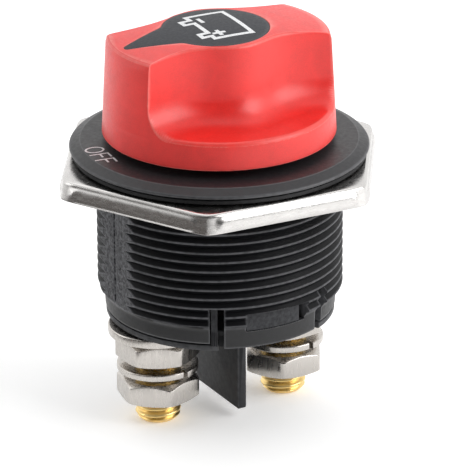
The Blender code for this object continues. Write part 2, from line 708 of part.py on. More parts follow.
def build_base_cover(surface, root):
    profile = [
        (PLUG_RADIUS, FLOOR[1]),
        (PLUG_RADIUS, COVER_RIM_TOP),
        (COVER_RIM_RADIUS, COVER_RIM_TOP),
        (COVER_RIM_RADIUS, FLOOR[0]),
    ]
    cover = place("base_cover", to_mesh("base_cover", turned(profile, 44), surface), root)
    for side in (-1, 1):
        middle = side * 90
        notch_angles = (middle - NOTCH_HALF_ANGLE, middle + NOTCH_HALF_ANGLE)
        notch_radii = (PLUG_RADIUS, COVER_RIM_RADIUS + MM)
        notch = sector(notch_radii, notch_angles, FLOOR[0] - MM, COVER_RIM_TOP + MM, 8)
        hole_profile = [(STUD_RADIUS + GAP, FLOOR[0] - MM), (STUD_RADIUS + GAP, FLOOR[1] + MM)]
        stud_hole = turned(hole_profile, 24, centre=(side * STUD_X, 0.0))
        seal_seat = turned(
            [(SEAL[3] + GAP, SEAL[0] - GAP), (SEAL[3] + GAP, FLOOR[1] + MM)], 24, centre=(side * STUD_X, 0.0)
        )
        combine(cover, "DIFFERENCE", notch, stud_hole, seal_seat)
        arm_angles = (middle - ARM_HALF_ANGLE, middle + ARM_HALF_ANGLE)
        arm = sector(ARM_RADII, arm_angles, FLOOR[1] - MM, ARM_TOP)
        hook_radii = (ARM_RADII[1] - 0.5 * MM, HOOK_RADIUS)
        hook = sector(hook_radii, beside(side, HOOK_ANGLES), WINDOW_BOTTOM + GAP, WINDOW_TOP - GAP)
        rib_radii = (PLUG_RADIUS + GAP, SLOT_RIB_RADIUS)
        rib_angles = beside(side, SLOT_RIB_ANGLES)
        slot_rib = sector(rib_radii, rib_angles, COVER_RIM_TOP - 0.5 * MM, SLOT_TOP - GAP, 2)
        guide_profile = [(GUIDE_RADIUS, FLOOR[1] - MM), (GUIDE_RADIUS, GUIDE_TOP)]
        guide = turned(guide_profile, 16, centre=(0.0, side * GUIDE_Y))
        combine(cover, "UNION", arm, hook, slot_rib, guide)
        near, far, inner, outer, top = RIB
        for flank in (-1, 1):
            low_x, high_x = sorted((side * near, side * far))
            low_y, high_y = sorted((flank * inner, flank * outer))
            combine(cover, "UNION", box((low_x, low_y, FLOOR[1] - 0.5 * MM), (high_x, high_y, top)))
    half = 0.5 * FIN_THICKNESS
    fin = box((-half, -FIN_HALF_WIDTH, FIN_BOTTOM), (half, FIN_HALF_WIDTH, FLOOR[0] + MM))
    combine(cover, "UNION", fin)


# ---------------------------------------------------------------- terminals


def build_studs(brass, silver, rubber, root):
    head_bottom, head_top, head_radius = STUD_HEAD
    profile = [
        (STUD_RADIUS - STUD_CHAMFER, STUD_TIP),
        (STUD_RADIUS, STUD_TIP + STUD_CHAMFER),
        (STUD_RADIUS, head_bottom),
        (head_radius, head_bottom),
        (head_radius, head_top),
    ]
    contact = to_mesh(
        "fixed_contact",
        turned([(CONTACT_RADIUS, head_top + GAP), (CONTACT_RADIUS, head_top + GAP + CONTACT_THICKNESS)], 20),
        silver,
    )
    seal = to_mesh("stud_seal", ring(SEAL[2], SEAL[3], SEAL[0], SEAL[1], 24), rubber)
    for name, side in (("left", -1), ("right", 1)):
        place_at = (side * STUD_X, 0.0, 0.0)
        shank = to_mesh(f"terminal_stud_{name}", turned(profile, 24), brass)
        stud = place(f"terminal_stud_{name}", shank, root, place_at)
        low, high, wide = head_bottom - MM, head_top + MM, 2 * head_radius
        for flank in (-1, 1):
            near, far = sorted((flank * STUD_HEAD_HALF, flank * wide))
            x = side * STUD_X
            combine(stud, "DIFFERENCE", box((x - wide, near, low), (x + wide, far, high)))
            combine(stud, "DIFFERENCE", box((x + near, -wide, low), (x + far, wide, high)))
        place(f"fixed_contact_{name}", contact, root, place_at)
        place(f"stud_seal_{name}", seal, root, place_at)


def nut_shape(height, half_flats, bore, segments=24):
    """A hexagon nut with its top at z = 0 and its corners turned down to the washer face."""
    face_radius = 0.96 * half_flats
    slope = math.tan(math.radians(30))
    step = 360 / segments
    upper, lower = [], []
    for i in range(segments):
        angle = i * step
        radius = hexagon_radius(half_flats, angle)
        x, y = radius * math.cos(math.radians(angle)), radius * math.sin(math.radians(angle))
        drop = (radius - face_radius) * slope
        upper.append(Vector((x, y, -drop)))
        lower.append(Vector((x, y, -height + drop)))
    bm = bmesh.new()
    rings = [
        circle(bore, 0.0, segments),
        circle(face_radius, 0.0, segments),
        upper,
        lower,
        circle(face_radius, -height, segments),
        circle(bore, -height, segments),
    ]
    loft(bm, rings, True)
    return bm


def build_terminal_hardware(steel, root):
    bore = STUD_RADIUS + GAP
    washer = to_mesh("terminal_washer", ring(bore, WASHER[2], WASHER[0], WASHER[1], 24), steel)
    nut = to_mesh("nut", nut_shape(NUT_HEIGHT, 0.5 * NUT_ACROSS_FLATS, bore), steel)
    bottom, top, inner, outer = SPRING_WASHER
    lock = to_mesh("spring_washer", sector((inner, outer), (4, 356), bottom, top, 18), steel)
    for name, side in (("left", -1), ("right", 1)):
        x = side * STUD_X
        place(f"terminal_washer_{name}", washer, root, (x, 0.0, 0.0))
        place(f"spring_washer_{name}", lock, root, (x, 0.0, 0.0), -75)
        for kind, height in (("terminal_nut", TERMINAL_NUT_TOP), ("cable_nut", CABLE_NUT_TOP)):
            place(f"{kind}_{name}", nut, root, (x, 0.0, height), NUT_TURN[f"{kind}_{name}"])


# ---------------------------------------------------------------- panel nut


def hexagon_ring(half_flats, z, segments, round_off):
    """A hexagon with its corners eased by round_off."""
    points = []
    for i in range(segments):
        angle = 360 * i / segments
        corner = half_flats / math.cos(math.radians(30)) - round_off
        radius = soft_minimum(hexagon_radius(half_flats, angle), corner, 2 * round_off)
        turn = math.radians(angle)
        points.append(Vector((radius * math.cos(turn), radius * math.sin(turn), z)))
    return points


def build_panel_nut(surface, guide):
    segments = 60
    easing = 0.5 * MM
    collar = PANEL_NUT_BORE + PANEL_NUT_SHEET
    under = PANEL_NUT_TOP - PANEL_NUT_SHEET
    flared = PANEL_NUT_HALF_FLATS + PANEL_NUT_FLARE
    rings = [
        circle(PANEL_NUT_BORE, PANEL_NUT_TOP, segments),
        hexagon_ring(PANEL_NUT_HALF_FLATS - PANEL_NUT_BEND, PANEL_NUT_TOP, segments, easing),
        hexagon_ring(PANEL_NUT_HALF_FLATS, PANEL_NUT_TOP - PANEL_NUT_BEND, segments, easing),
        hexagon_ring(flared, PANEL_NUT_BOTTOM, segments, easing),
        hexagon_ring(flared - PANEL_NUT_SHEET, PANEL_NUT_BOTTOM, segments, easing),
        hexagon_ring(PANEL_NUT_HALF_FLATS - PANEL_NUT_SHEET, under, segments, easing),
        circle(collar, under, segments),
        circle(collar, PANEL_NUT_BOTTOM, segments),
        circle(PANEL_NUT_BORE, PANEL_NUT_BOTTOM, segments),
    ]
    bm = bmesh.new()
    loft(bm, rings, True)
    place("panel_nut", to_mesh("panel_nut", bm, surface), guide, turn=PANEL_NUT_TURN)


# ---------------------------------------------------------------- the whole switch


def main():
    clear_scene()
    red = material("red knob plastic", (0.75, 0.035, 0.03), 0.45)
    slate = material("dark badge plastic", (0.06, 0.065, 0.07), 0.4)
    black = material("black housing plastic", (0.03, 0.031, 0.033), 0.55)
    grey = material("dark grey cover plastic", (0.07, 0.072, 0.075), 0.6)
    white = material("white cam plastic", (0.75, 0.74, 0.7), 0.45)
    rubber = material("black rubber", (0.015, 0.015, 0.015), 0.8)
    steel = material("bright steel", (0.72, 0.72, 0.7), 0.25, 1.0)
    spring_steel = material("spring steel", (0.55, 0.55, 0.54), 0.35, 1.0)
    brass = material("brass", (0.78, 0.55, 0.2), 0.3, 1.0)
    copper = material("copper", (0.85, 0.42, 0.27), 0.3, 1.0)
    silver = material("silver contact", (0.85, 0.84, 0.82), 0.25, 1.0)

    root = empty("housing_body")
    knob_axis = empty("knob_axis", parent=root)
    knob_axis.rotation_euler = (0.0, 0.0, math.radians(KNOB_INDEX))
    carrier_guide = empty("carrier_guide", parent=root)
    nut_guide = empty("panel_nut_guide", parent=root)

    build_housing(black, root)
    build_gasket(rubber, root)
    build_knob(red, knob_axis)
    build_badge(slate, knob_axis)
    build_knob_screw(steel, knob_axis)
    build_spindle(steel, knob_axis)
    build_o_ring(rubber, knob_axis)
    build_thrust_washer(white, root)
    build_retaining_clip(spring_steel, knob_axis)
    build_cam_rotor(white, knob_axis)
    build_carrier(grey, carrier_guide)
    build_bridge(copper, silver, carrier_guide)
    build_bridge_retainer(spring_steel, carrier_guide)
    build_contact_spring(spring_steel, carrier_guide)
    build_return_springs(spring_steel, root)
    build_base_cover(black, root)
    build_studs(brass, silver, rubber, root)
    build_terminal_hardware(steel, root)
    build_panel_nut(steel, nut_guide)


main()
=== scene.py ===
"""Finished surfaces, materials, light and camera for the panel-mount rotary battery switch.

Lengths are metres in the switch's own frame: Z = 0 is the panel's front face, +Z runs up the knob's
axis, and the two terminal studs stand at -X (left) and +X (right). The knob points to -X when off.
Round pieces are lattices of points: each patch is a stack of rows that run once round an axis, and
the patches of a piece are welded where they meet.
"""

import json
import math

import bmesh
import bpy
import numpy as np
from mathutils import Matrix, Vector


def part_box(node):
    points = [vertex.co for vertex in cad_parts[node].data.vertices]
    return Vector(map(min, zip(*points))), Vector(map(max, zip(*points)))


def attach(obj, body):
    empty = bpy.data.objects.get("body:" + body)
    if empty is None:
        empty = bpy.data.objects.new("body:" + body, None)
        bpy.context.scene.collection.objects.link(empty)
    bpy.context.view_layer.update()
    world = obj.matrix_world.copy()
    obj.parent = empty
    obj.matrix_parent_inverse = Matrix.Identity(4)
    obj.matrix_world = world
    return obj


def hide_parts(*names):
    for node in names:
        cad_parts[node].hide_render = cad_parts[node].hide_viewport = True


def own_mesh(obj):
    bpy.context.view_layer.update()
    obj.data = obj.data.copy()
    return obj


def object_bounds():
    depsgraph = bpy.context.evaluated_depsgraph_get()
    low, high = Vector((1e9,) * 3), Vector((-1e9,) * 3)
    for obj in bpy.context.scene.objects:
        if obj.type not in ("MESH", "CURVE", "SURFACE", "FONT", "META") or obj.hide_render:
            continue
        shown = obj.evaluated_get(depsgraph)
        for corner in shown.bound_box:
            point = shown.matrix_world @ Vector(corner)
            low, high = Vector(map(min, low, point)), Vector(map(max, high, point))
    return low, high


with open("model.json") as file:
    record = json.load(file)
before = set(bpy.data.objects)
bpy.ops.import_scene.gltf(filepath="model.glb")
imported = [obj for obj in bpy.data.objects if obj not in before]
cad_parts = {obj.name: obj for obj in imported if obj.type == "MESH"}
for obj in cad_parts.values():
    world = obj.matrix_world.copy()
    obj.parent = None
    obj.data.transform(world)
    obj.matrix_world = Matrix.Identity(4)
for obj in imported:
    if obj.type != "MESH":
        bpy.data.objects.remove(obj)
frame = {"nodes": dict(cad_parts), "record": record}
cad_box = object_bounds()

MM = 0.001
WELD = 2e-8
FULL_TURN = 2 * math.pi
WEAR_AND_HIGHLIGHT_BEND = (700.0, 3000.0)  # bend per metre where the pale edges, partly worn and partly a painted highlight, start and where they are full

# Flange, barrel and skirt
FLANGE_LOW, FLANGE_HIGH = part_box("housing")
FLANGE_RADIUS = FLANGE_HIGH.x
FLANGE_TOP = FLANGE_HIGH.z
FLANGE_BOTTOM = 1.0 * MM
FLANGE_CHAMFER = 2.0 * MM
FLANGE_CHAMFER_DROP = 1.0 * MM
SPINDLE_BORE = 5.0 * MM
DECK_BOTTOM = -2.0 * MM
CAVITY_RADIUS = 18.3 * MM
THREAD_RADIUS = 21.45 * MM
THREAD_ROOT = 20.75 * MM
THREAD_PITCH = 1.7 * MM
THREAD_TOP = -0.4 * MM
THREAD_END = -24.7 * MM
THREAD_FADE = 0.5 * MM
BARREL_FLAT = 20.5 * MM
FLAT_HALF_ANGLE = 20
COLUMN_START = FLAT_HALF_ANGLE + 4  # degrees from the +X flat's middle to the barrel's first column
SKIRT_RADIUS = 20.25 * MM
SKIRT_TAPER = 0.12 * MM
SKIRT_BOTTOM = -28.0 * MM
TONGUE_BOTTOM = FLANGE_LOW.z
TONGUE_HALF_ANGLE = 28
TONGUE_SLOTS = ((-34.0, -26.9), (25.2, 30.8))  # first and last angle of each
SLOT_TOP = -21.0 * MM
WINDOW = (-25.8 * MM, -22.2 * MM, -16.3, 16.8)  # bottom, top, first and last angle
GASKET_BORE = THREAD_RADIUS + 0.1 * MM
GASKET_EASE = 0.15 * MM
PARTING_Y = 0.5 * MM
PARTING_WIDTH = 0.36 * MM
PARTING_DEPTH = 0.3 * MM
STOP_PEG = (12.8 * MM, 14.2 * MM, 4.0, -4.1 * MM)  # inner and outer radius, half angle, bottom

# Knob and badge, both turned a little past the terminals' line
KNOB_INDEX = math.radians(-2.5)
KNOB_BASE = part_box("knob")[0].z
KNOB_BASE_RADIUS = 20.3 * MM
KNOB_TOP_RADIUS = 19.25 * MM
CROWN_TOP = 23.05 * MM
CROWN_SAG = (4.6, 5.2)  # per metre, along and across the blade
LEDGE = 9.0 * MM
LEDGE_SLOPE = 0.03
SCOOP_FILLET = 5.0 * MM
FILLET_TOP = LEDGE + SCOOP_FILLET
SCOOP_REACH = 13.0 * MM
LIP_ROUND = 0.7 * MM
CROWN_ROUND = 0.5 * MM
CORNER_BLEND = 1.5 * MM
BLADE_MIDDLE_HALF = 10.3 * MM
BLADE_WAIST_HALF = 7.1 * MM
BLADE_END_HALF = 8.5 * MM
BLADE_END_X = 16.8 * MM
BLADE_BULGE = 6.4 * MM
KNOB_WALL = 2.2 * MM
KNOB_CEILING = 6.6 * MM
HUB_RADIUS = 6.5 * MM
SOCKET_HALF = 3.5 * MM
SOCKET_TOP = 15.3 * MM
SCREW_HOLE = 2.3 * MM
SCREW_SEAT = 17.1 * MM
SCREW_BORE = 4.0 * MM
BADGE_RECESS = 19.9 * MM
BADGE_BOTTOM = 20.2 * MM
BADGE_RADIUS = 9.3 * MM
BADGE_CENTRE_X = -0.6 * MM
BADGE_TIP_X = -17.8 * MM
BADGE_SHOULDER = (-8.0 * MM, 4.75 * MM)
BADGE_FLANK_END = (-17.1 * MM, 0.95 * MM)
BADGE_FILLET = 0.5 * MM
BADGE_GAP = 0.06 * MM
BADGE_EASE = 0.12 * MM
PRINT_HEIGHT = 0.03 * MM

# Panel nut
PANEL_NUT_LOW, PANEL_NUT_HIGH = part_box("panel_nut")
PANEL_NUT_TOP = PANEL_NUT_HIGH.z
PANEL_NUT_BOTTOM = PANEL_NUT_LOW.z
PANEL_NUT_BORE = 21.6 * MM
PANEL_NUT_HALF_FLATS = 26.1 * MM
PANEL_NUT_FLARE = 0.4 * MM
PANEL_NUT_SHEET = 0.9 * MM
PANEL_NUT_TURN = math.radians(-2.7)
PANEL_NUT_BEND = 0.7 * MM
PANEL_NUT_EMBOSS = 0.3 * MM

# Base cover
COVER_FLOOR = (-29.3 * MM, -26.3 * MM)  # bottom, top
COVER_RIM = (20.0 * MM, -28.3 * MM)  # radius, top
PLUG_RADIUS = 18.0 * MM
ARM = (16.3 * MM, 17.9 * MM, -22.0 * MM, 13)  # inner and outer radius, top, half angle
HOOK = (20.2 * MM, -25.65 * MM, -22.35 * MM, -15.8, 13.2)  # radius, bottom, top, first and last angle
SLOT_RIB = (18.3 * MM, 19.95 * MM, -33.4, -30.2)  # inner and outer radius, first and last angle
NOTCH_HALF_ANGLE = 29.8
GUIDE = (12.0 * MM, 1.8 * MM, -7.4 * MM)  # y, radius, top
RIB = (8.0 * MM, 16.3 * MM, 5.4 * MM, 6.6 * MM, -24.6 * MM)  # near and far x, low and high y, top
FIN = (1.75 * MM, 7.8 * MM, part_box("base_cover")[0].z)  # thickness, half length, bottom

# Terminals
STUD_X = 12.6 * MM
STUD_RADIUS = 4.0 * MM
STUD_ROOT = 3.45 * MM
STUD_PITCH = 1.25 * MM
STUD_CHAMFER = 0.8 * MM
STUD_CHAMFER_SLOPE = 0.9
STUD_HEAD = (-26.0 * MM, -23.0 * MM, 5.0 * MM)  # bottom, top, half width
NUT_HALF_FLATS = 6.5 * MM
NUT_BORE = 4.05 * MM
NUT_DIP_BELOW = 0.6
NUT_TURN = {
    "terminal_nut_left": 34.3,
    "terminal_nut_right": 3.0,
    "cable_nut_left": 20.3,
    "cable_nut_right": 1.3,
}
WASHER_BORE = STUD_RADIUS + 0.15 * MM
WASHER_EASE = 0.3 * MM
SPLIT_ANGLE = -75
SPRING_WASHER_TWIST = 0.12 * MM

# Letters printed on the flange
LABEL_HEIGHT = 3.5 * MM
LABEL_LINE = 0.34 * MM
LABEL_SPACING = 0.62 * MM
LABEL_BASELINE = 23.9 * MM

# Camera and light
CAMERA_PLACE = Vector((-359.7, -657.1, 291.7)) * MM
CAMERA_LOOK = Vector((0.4456, 0.8104, -0.3803))
CAMERA_ROLL = -0.00605
CAMERA_LENS = 352.6
ROOM = (0.07, 1.15)  # darkest and brightest strength
ROOM_BRIGHT_SIDE = (0.30, 0.93, 0.20)
ROOM_FADE = (-0.45, 0.55)
SOFTBOXES = {  # place, size and watts of each
    "key_right": ((0.50, -0.58, 0.40), (0.70, 0.70), 6.5),
    "overhead": ((0.0, 0.20, 0.93), (1.2, 1.2), 1.6),
    "rim_left": ((-0.62, 0.28, 0.20), (0.25, 0.45), 0.45),
}
SOFTBOX_TARGET = Vector((0.0, 0.0, -0.01))
FLOOR_HALF = 6.0
FLOOR_GLOW = 0.22
DARK_REFLECTION_CARD = ((-0.06, -0.50), (-0.40, 0.14), 0.14)  # near and far x, low and high y, height of its fold


# ---------------------------------------------------------------- lattices


def circle_angles(segments):
    return np.linspace(0.0, FULL_TURN, segments + 1)


def polar(radii, heights, angles, centre=(0.0, 0.0)):
    """A patch of rows round a vertical axis; radii and heights are one value a row or one a point."""
    radii, heights = np.broadcast_arrays(np.asarray(radii, float), np.asarray(heights, float))
    if radii.ndim == 1:
        radii, heights = radii[:, None], heights[:, None]
    shape = (radii.shape[0], len(angles))
    radii, heights = np.broadcast_to(radii, shape), np.broadcast_to(heights, shape)
    return np.stack((centre[0] + radii * np.cos(angles), centre[1] + radii * np.sin(angles), heights), axis=2)


def end_caps(tube):
    """Two patches that close an open tube's ends on their middles."""
    caps = []
    for outline in (tube[:, 0], tube[:, -1]):
        middle = outline[:-1].mean(axis=0)
        caps.append(np.stack((outline, np.repeat(middle[None], len(outline), axis=0))))
    return caps


def row_stack(angles):
    """An empty patch round the switch's axis, and a function that adds a row to it."""
    rows, around = [], np.ones_like(angles)

    def add(radius, height):
        rows.append(polar([radius * around], [height * around], angles)[0])

    return rows, add


def weld(name, patches):
    """One mesh from patches of points, welded along their edges, with its faces pointing out."""
    points, faces, start = [], [], 0
    for patch in patches:
        rows, columns = patch.shape[:2]
        first = start + (np.arange(rows - 1)[:, None] * columns + np.arange(columns - 1)).ravel()
        points.append(patch.reshape(-1, 3))
        faces.append(np.stack((first, first + 1, first + columns + 1, first + columns), axis=1))
        start += rows * columns
    mesh = bpy.data.meshes.new(name)
    mesh.from_pydata(np.concatenate(points).tolist(), [], np.concatenate(faces).tolist())
    bm = bmesh.new()
    bm.from_mesh(mesh)
    bmesh.ops.remove_doubles(bm, verts=bm.verts, dist=WELD)
    bmesh.ops.dissolve_degenerate(bm, edges=bm.edges, dist=WELD)
    bmesh.ops.recalc_face_normals(bm, faces=bm.faces)
    bm.to_mesh(mesh)
    bm.free()
    return mesh


def eased(profile, size, steps=4):
    """A closed profile with each of its corners rounded off."""
    rounded = []
    count = len(profile)
    for i in range(count):
        before, corner, after = (np.array(profile[(i + k) % count], float) for k in (-1, 0, 1))
        start = corner + (before - corner) * min(0.45, size / np.linalg.norm(before - corner))
        end = corner + (after - corner) * min(0.45, size / np.linalg.norm(after - corner))
        for k in range(steps + 1):
            t = k / steps
            rounded.append((1 - t) ** 2 * start + 2 * t * (1 - t) * corner + t * t * end)
    return rounded


def turned(profile, segments, centre=(0.0, 0.0)):
    """A bored round piece from a closed profile of (radius, z) points."""
    loop = np.array(list(profile) + [profile[0]])
    return polar(loop[:, 0], loop[:, 1], circle_angles(segments), centre)


def helix(radius_at, angles, pitch, steps, bottom, top, centre=(0.0, 0.0)):
    """Rows that climb as a right-hand thread and end level; radius_at(angle, z, phase) is the surface."""
    turns = math.ceil((top - bottom) / pitch) + 1
    row = np.arange(turns * steps + 1)
    climb = (row / steps - 1) * pitch
    heights = np.clip(bottom + climb[:, None] + pitch * angles / FULL_TURN, bottom, top)
    phases = np.repeat((row % steps / steps)[:, None], len(angles), axis=1)
    return polar(radius_at(angles, heights, phases), heights, angles, centre)


def smooth_step(value, low, high):
    share = np.clip((value - low) / (high - low), 0.0, 1.0)
    return share * share * (3 - 2 * share)


def soft_minimum(a, b, blend):
    overlap = np.maximum(blend - np.abs(a - b), 0.0) / blend
    return np.minimum(a, b) - 0.25 * blend * overlap**2


def hexagon_radius(half_flats, angles, blunt):
    """Distance from a hexagon's centre to its edge, with a corner at angle 0 and its corners blunted."""
    within = (angles + math.pi / 6) % (math.pi / 3) - math.pi / 6
    edge = half_flats / np.cos(math.pi / 6 - np.abs(within))
    return soft_minimum(edge, half_flats / math.cos(math.pi / 6) - blunt, 2 * blunt)


# ---------------------------------------------------------------- pieces


def put(name, data):
    """An object in the scene."""
    made = bpy.data.objects.new(name, data)
    bpy.context.scene.collection.objects.link(made)
    return made


def mark_wear_and_highlight(mesh):
    """Stores from 0 to 1 how sharply the surface turns outward at each point, where edges are painted pale,
    partly as worn edges and partly as a painted highlight.
    """
    points = np.empty(3 * len(mesh.vertices))
    normals = np.empty(3 * len(mesh.vertices))
    ends = np.empty(2 * len(mesh.edges), dtype=int)
    mesh.vertices.foreach_get("co", points)
    mesh.vertex_normals.foreach_get("vector", normals)
    mesh.edges.foreach_get("vertices", ends)
    points, normals, ends = points.reshape(-1, 3), normals.reshape(-1, 3), ends.reshape(-1, 2)
    bend = np.zeros(len(points))
    for here, there in (ends.T, ends.T[::-1]):
        span = points[there] - points[here]
        outward = -2 * np.sum(span * normals[here], axis=1) / np.maximum(np.sum(span * span, axis=1), WELD**2)
        np.maximum.at(bend, here, outward)
    attribute = mesh.attributes.new("wear_and_highlight", "FLOAT", "POINT")
    attribute.data.foreach_set("value", smooth_step(bend, *WEAR_AND_HIGHLIGHT_BEND))


def add_piece(name, mesh, surface, body, replaced=(), sharp=35):
    """Puts a finished mesh in the scene, on its body, in place of the CAD nodes it stands for."""
    piece = put(name, mesh)
    mesh.materials.clear()
    mesh.materials.append(surface)
    mesh.shade_smooth()
    mesh.set_sharp_from_angle(angle=math.radians(sharp))
    mark_wear_and_highlight(mesh)
    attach(piece, body)
    if replaced:
        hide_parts(*replaced)
    return piece


def cut_and_join(mesh, cutters=(), additions=()):
    """The mesh with cutters taken away and additions joined on, by exact Booleans."""
    base = put("boolean_base", mesh)
    helpers = [base]
    for operation, tools in (("DIFFERENCE", cutters), ("UNION", additions)):
        for tool in tools:
            helper = put("boolean_tool", tool)
            helpers.append(helper)
            modifier = base.modifiers.new("boolean", "BOOLEAN")
            modifier.operation = operation
            modifier.solver = "EXACT"
            modifier.object = helper
    bpy.context.view_layer.update()
    evaluated = base.evaluated_get(bpy.context.evaluated_depsgraph_get())
    result = bpy.data.meshes.new_from_object(evaluated)
    result.name = mesh.name
    for helper in helpers:
        bpy.data.objects.remove(helper)
    return result


def sector(radii, angles, bottom, top, steps=24):
    """A closed block of a ring between two angles in degrees."""
    around = np.radians(np.linspace(angles[0], angles[1], steps + 1))
    corners = [(radii[0], bottom), (radii[1], bottom), (radii[1], top), (radii[0], top), (radii[0], bottom)]
    loop = np.array(corners)
    sides = polar(loop[:, 0], loop[:, 1], around)
    ends = [sides[:4, column].reshape(2, 2, 3) for column in (0, -1)]
    ends = [np.stack((end[0], end[1][::-1])) for end in ends]
    return weld("sector", [sides, *ends])


def block(low, high, ease=0.0, steps=3):
    """A closed rectangular block with its edges rounded off."""
    bm = bmesh.new()
    bmesh.ops.create_cube(bm, size=1.0)
    middle, size = (Vector(low) + Vector(high)) / 2, Vector(high) - Vector(low)
    bmesh.ops.scale(bm, vec=size, verts=bm.verts)
    bmesh.ops.translate(bm, vec=middle, verts=bm.verts)
    if ease:
        bmesh.ops.bevel(bm, geom=bm.edges[:], offset=ease, segments=steps, affect="EDGES", profile=0.5)
    mesh = bpy.data.meshes.new("block")
    bm.to_mesh(mesh)
    bm.free()
    return mesh


def post(radius, bottom, top, centre, ease=0.0, segments=48):
    """A closed round bar."""
    radii = [0.0, radius - ease, radius - 0.3 * ease, radius, radius, 0.0]
    heights = [top, top, top - 0.3 * ease, top - ease, bottom, bottom]
    return weld("post", [polar(radii, heights, circle_angles(segments), centre)])


# ---------------------------------------------------------------- materials


class Surface:
    """One procedural material: a Principled shader fed by noise in the object's own coordinates."""

    def __init__(self, name, roughness, metallic=0.0, **settings):
        self.material = bpy.data.materials.new(name)
        self.material.use_nodes = True
        self.tree = self.material.node_tree
        self.shader = self.tree.nodes["Principled BSDF"]
        self.shader.inputs["Roughness"].default_value = roughness
        self.shader.inputs["Metallic"].default_value = metallic
        for socket, value in settings.items():
            self.shader.inputs[socket.replace("_", " ")].default_value = value
        self.place = self.tree.nodes.new("ShaderNodeTexCoord").outputs["Object"]
        self.normal = None

    def node(self, kind, settings=(), **inputs):
        made = self.tree.nodes.new(kind)
        for attribute, value in dict(settings).items():
            setattr(made, attribute, value)
        for socket, value in inputs.items():
            self.feed(made.inputs[socket.replace("_", " ")], value)
        return made

    def feed(self, socket, value):
        if isinstance(value, bpy.types.NodeSocket):
            self.tree.links.new(value, socket)
        else:
            socket.default_value = value

    def noise(self, per_metre, detail=3.0, stretch=(1.0, 1.0, 1.0), distortion=0.0):
        """A value from 0 to 1 that varies over about 1/per_metre, drawn out along an axis by stretch."""
        place = self.place
        if stretch != (1.0, 1.0, 1.0):
            place = self.node("ShaderNodeMapping", Vector=self.place, Scale=stretch).outputs["Vector"]
        made = self.node(
            "ShaderNodeTexNoise", Vector=place, Scale=per_metre, Detail=detail, Distortion=distortion
        )
        return made.outputs["Fac"]

    def ramp(self, value, low, high, out_low, out_high, smooth=False):
        """The value's range from low to high carried on to out_low to out_high."""
        kind = "SMOOTHSTEP" if smooth else "LINEAR"
        made = self.node(
            "ShaderNodeMapRange",
            {"interpolation_type": kind, "clamp": True},
            Value=value,
            From_Min=low,
            From_Max=high,
            To_Min=out_low,
            To_Max=out_high,
        )
        return made.outputs["Result"]

    def math(self, operation, a, b=0.0):
        made = self.node("ShaderNodeMath", {"operation": operation})
        self.feed(made.inputs[0], a)
        self.feed(made.inputs[1], b)
        return made.outputs["Value"]

    def axis(self, letter):
        return self.node("ShaderNodeSeparateXYZ", Vector=self.place).outputs[letter]

    def mix(self, share, first, second):
        """One colour fading into another; a colour is three numbers or another node's output."""
        made = self.tree.nodes.new("ShaderNodeMix")
        made.data_type = "RGBA"
        self.feed(made.inputs[0], share)
        for socket, colour in ((made.inputs[6], first), (made.inputs[7], second)):
            self.feed(socket, colour if isinstance(colour, bpy.types.NodeSocket) else (*colour, 1.0))
        return made.outputs[2]

    def paint(self, colour):
        self.feed(self.shader.inputs["Base Color"], colour)

    def rough(self, value):
        self.feed(self.shader.inputs["Roughness"], value)

    def bump(self, height, depth):
        """Raises the surface by height times depth, on top of any bump already there."""
        made = self.node("ShaderNodeBump", Height=height, Distance=depth, Strength=1.0)
        if self.normal:
            self.feed(made.inputs["Normal"], self.normal)
        self.normal = made.outputs["Normal"]
        self.feed(self.shader.inputs["Normal"], self.normal)

    def edge(self):
        """Near 1 along a piece's outer edges, broken up as handling wears them, and 0 elsewhere; the pale
        edges it drives are partly worn and partly a painted highlight.
        """
        marked = self.node("ShaderNodeAttribute", {"attribute_name": "wear_and_highlight"}).outputs["Fac"]
        return self.math("MULTIPLY", marked, self.ramp(self.noise(900, 3.0), 0.3, 0.6, 0.55, 1.0))


def scaled(colour, share):
    return tuple(min(channel * share, 1.0) for channel in colour)


def plastic(name, colour, roughness, grain, depth, pale, **settings):
    """Moulded plastic: a fine spark-eroded grain, faint flow marks and pale edges that are partly worn and
    partly a painted highlight.
    """
    made = Surface(name, roughness, **settings)
    flow = made.noise(260, 4.0, distortion=0.6)
    body = made.mix(made.ramp(flow, 0.3, 0.7, 0.0, 1.0), scaled(colour, 0.92), scaled(colour, 1.08))
    speckle = made.ramp(made.noise(grain, 2.0), 0.35, 0.7, 0.0, 1.0)
    body = made.mix(made.math("MULTIPLY", speckle, 0.35), body, scaled(colour, 1.3))
    # pale edges: partly worn, partly a painted highlight along convex edges
    made.paint(made.mix(made.math("MULTIPLY", made.edge(), 0.7), body, pale))
    made.rough(made.ramp(made.noise(grain * 0.4, 3.0), 0.3, 0.7, roughness - 0.06, roughness + 0.06))
    made.bump(made.noise(grain, 3.0), depth)
    made.bump(made.noise(grain * 3.1, 2.0), 0.35 * depth)
    return made


def metal(name, colour, roughness, stain, streak=(1.0, 1.0, 1.0), lines=2500.0, depth=0.004 * MM, **settings):
    """Bare or plated metal: fine tool lines drawn out along one way, and faint stains."""
    made = Surface(name, roughness, 1.0, **settings)
    cloud = made.ramp(made.noise(330, 4.0, distortion=0.4), 0.42, 0.75, 0.0, 1.0)
    spot = made.ramp(made.noise(900, 2.0), 0.7, 0.8, 0.0, 0.4)
    body = made.mix(cloud, colour, scaled(colour, stain))
    made.paint(made.mix(spot, body, scaled(colour, 0.7)))
    tool_lines = made.noise(lines, 3.0, streak)
    made.rough(made.ramp(tool_lines, 0.3, 0.7, roughness - 0.05, roughness + 0.08))
    made.bump(tool_lines, depth)
    return made


def knob_plastic():
    colour, pale = (0.76, 0.023, 0.018), (0.90, 0.22, 0.19)
    made = plastic("moulded_red", colour, 0.37, 5200, 0.010 * MM, pale, Specular_IOR_Level=0.62)
    return made.material


def badge_plastic():
    pale = (0.09, 0.09, 0.095)
    made = plastic("slate_badge", (0.018, 0.020, 0.026), 0.5, 5200, 0.008 * MM, pale, Specular_IOR_Level=0.3)
    return made.material


